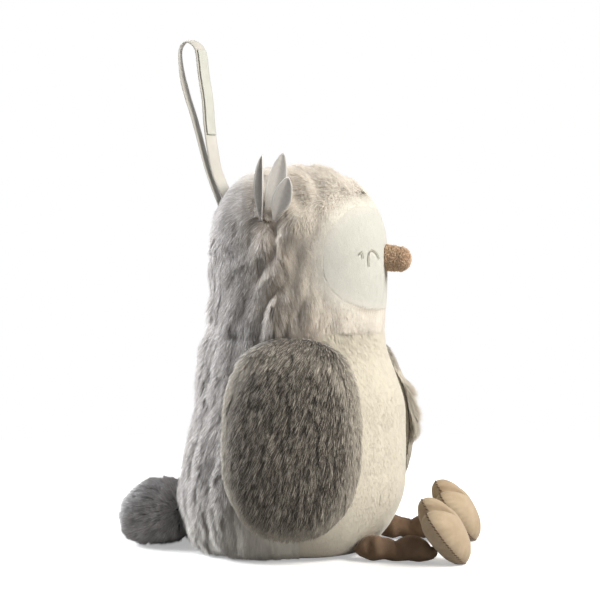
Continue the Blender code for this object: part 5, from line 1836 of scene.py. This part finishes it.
def foot_middle(sign):
    """The middle of a foot, which stands on its heel and meets the ankle behind it."""
    along = np.array([0, math.sin(FOOT_LEAN), math.cos(FOOT_LEAN)])
    front = np.cross(ACROSS, along)
    half = FOOT_LENGTH / 2
    heights = []
    for share in PILLOW_ROW_SHARES:
        heights.append(along[2] * half * share + front[2] * FOOT_UPPER_RISE * (1 - share**2) ** PILLOW_POWER)
    height = max(heights) + SEAM_GAP
    ankle = leg_root(sign) + np.array([0, -LEG_LENGTH, 0])
    ankle[2] = LEG_RING_SHARES[-1][1] * LEG_HEIGHT
    drop = 0.0
    for _ in range(ANKLE_TURNS):
        depth = FOOT_UPPER_RISE * (1 - (drop / half) ** 2) ** PILLOW_POWER + 1.5 * SEAM_GAP
        drop = (height - ankle[2] - front[2] * depth) / along[2]
    return ankle + along * drop + front * depth, along


# %% Outline and puckers of a foot
corners = []
for angle, share in FOOT_OUTLINE_SHARES:
    turn = math.radians(angle)
    corners.append((FOOT_WIDTH / 2 * share * math.cos(turn), FOOT_LENGTH / 2 * share * math.sin(turn), 0))
corners += [(-sideways, lengthways, 0) for sideways, lengthways, _ in corners[1:-1][::-1]]
outline = smooth_route([*corners, corners[0]], FOOT_POINTS + 1)[:-1, :2]
outline = (outline + np.roll(outline, 1, 0) + np.roll(outline, -1, 0)) / 3
shares = np.sin(np.linspace(0, math.pi / 2, 26))
turns = np.arange(FOOT_POINTS) * 2 * math.pi / FOOT_POINTS
ripple = np.sin(turns * SEAM_PUCKERS)[None]
wander = np.sin(turns * FOOT_DENTS + 1.0)[None]
pucker = 1 + SEAM_PUCKER * ripple * smooth_step(0.8, 0.98, shares)[:, None]
pucker = pucker + FOOT_DENT * wander * smooth_step(0.4, 0.9, shares)[:, None]
turned = np.degrees(np.arctan2(outline[:, 1], outline[:, 0]))
for valley in TOE_VALLEYS:
    near_valley = np.exp(-(((turned - valley) / VALLEY_WIDTH) ** 2))[None]
    pucker = pucker * (1 - VALLEY_DEPTH * near_valley * smooth_step(0.2, 0.85, shares)[:, None])

# %% Soles, uppers and their seams
for side, sign in SIDES.items():
    middle, along = foot_middle(sign)
    for name, rise in (("sole", FOOT_SOLE_RISE), ("upper", -FOOT_UPPER_RISE)):
        grids = []
        for inset in (0.0, SUEDE_THICKNESS):
            grids.append(dome(middle, ACROSS, along, outline, rise, inset, SEAM_GAP, shares, pucker))
        part = shell("foot_" + name + "_suede_" + side, grids[0], grids[1], closes=True)
        part.data.materials.append(foot_suede)
        settle(part, "foot_" + side, "foot_" + side + "_" + name)
    line = middle + outline[:, :1] * ACROSS + outline[:, 1:] * along
    radial = unit(line - middle)
    line = line - radial * THREAD_INSET
    thread = sew("foot_seam_" + side, line, radial, seam_thread, closes=True, **FOOT_STITCHES)
    settle(thread, "foot_" + side, None)

# %% [markdown]
# ## Stuffing
# The stuffing, wadding and fillings stay as the solids have them, hidden in their covers. They get the
# look of loose white fibre in case a cover is ever taken off.

# %% Fibre on the hidden solids
filling, bench, place = new_finish("fibre filling")
curl = bench.noise(place, 2.5 * MM, 5.0, 2.0)
colour = bench.mix(curl, paint(224, 222, 216), paint(244, 243, 240))
close_finish(bench, colour, 0.95, curl, 0.6, 0.6 * MM, sheen_weight=0.3)
for name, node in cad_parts.items():
    if not node.hide_render:
        node.data.materials.clear()
        node.data.materials.append(filling)
        print("filling:", name)
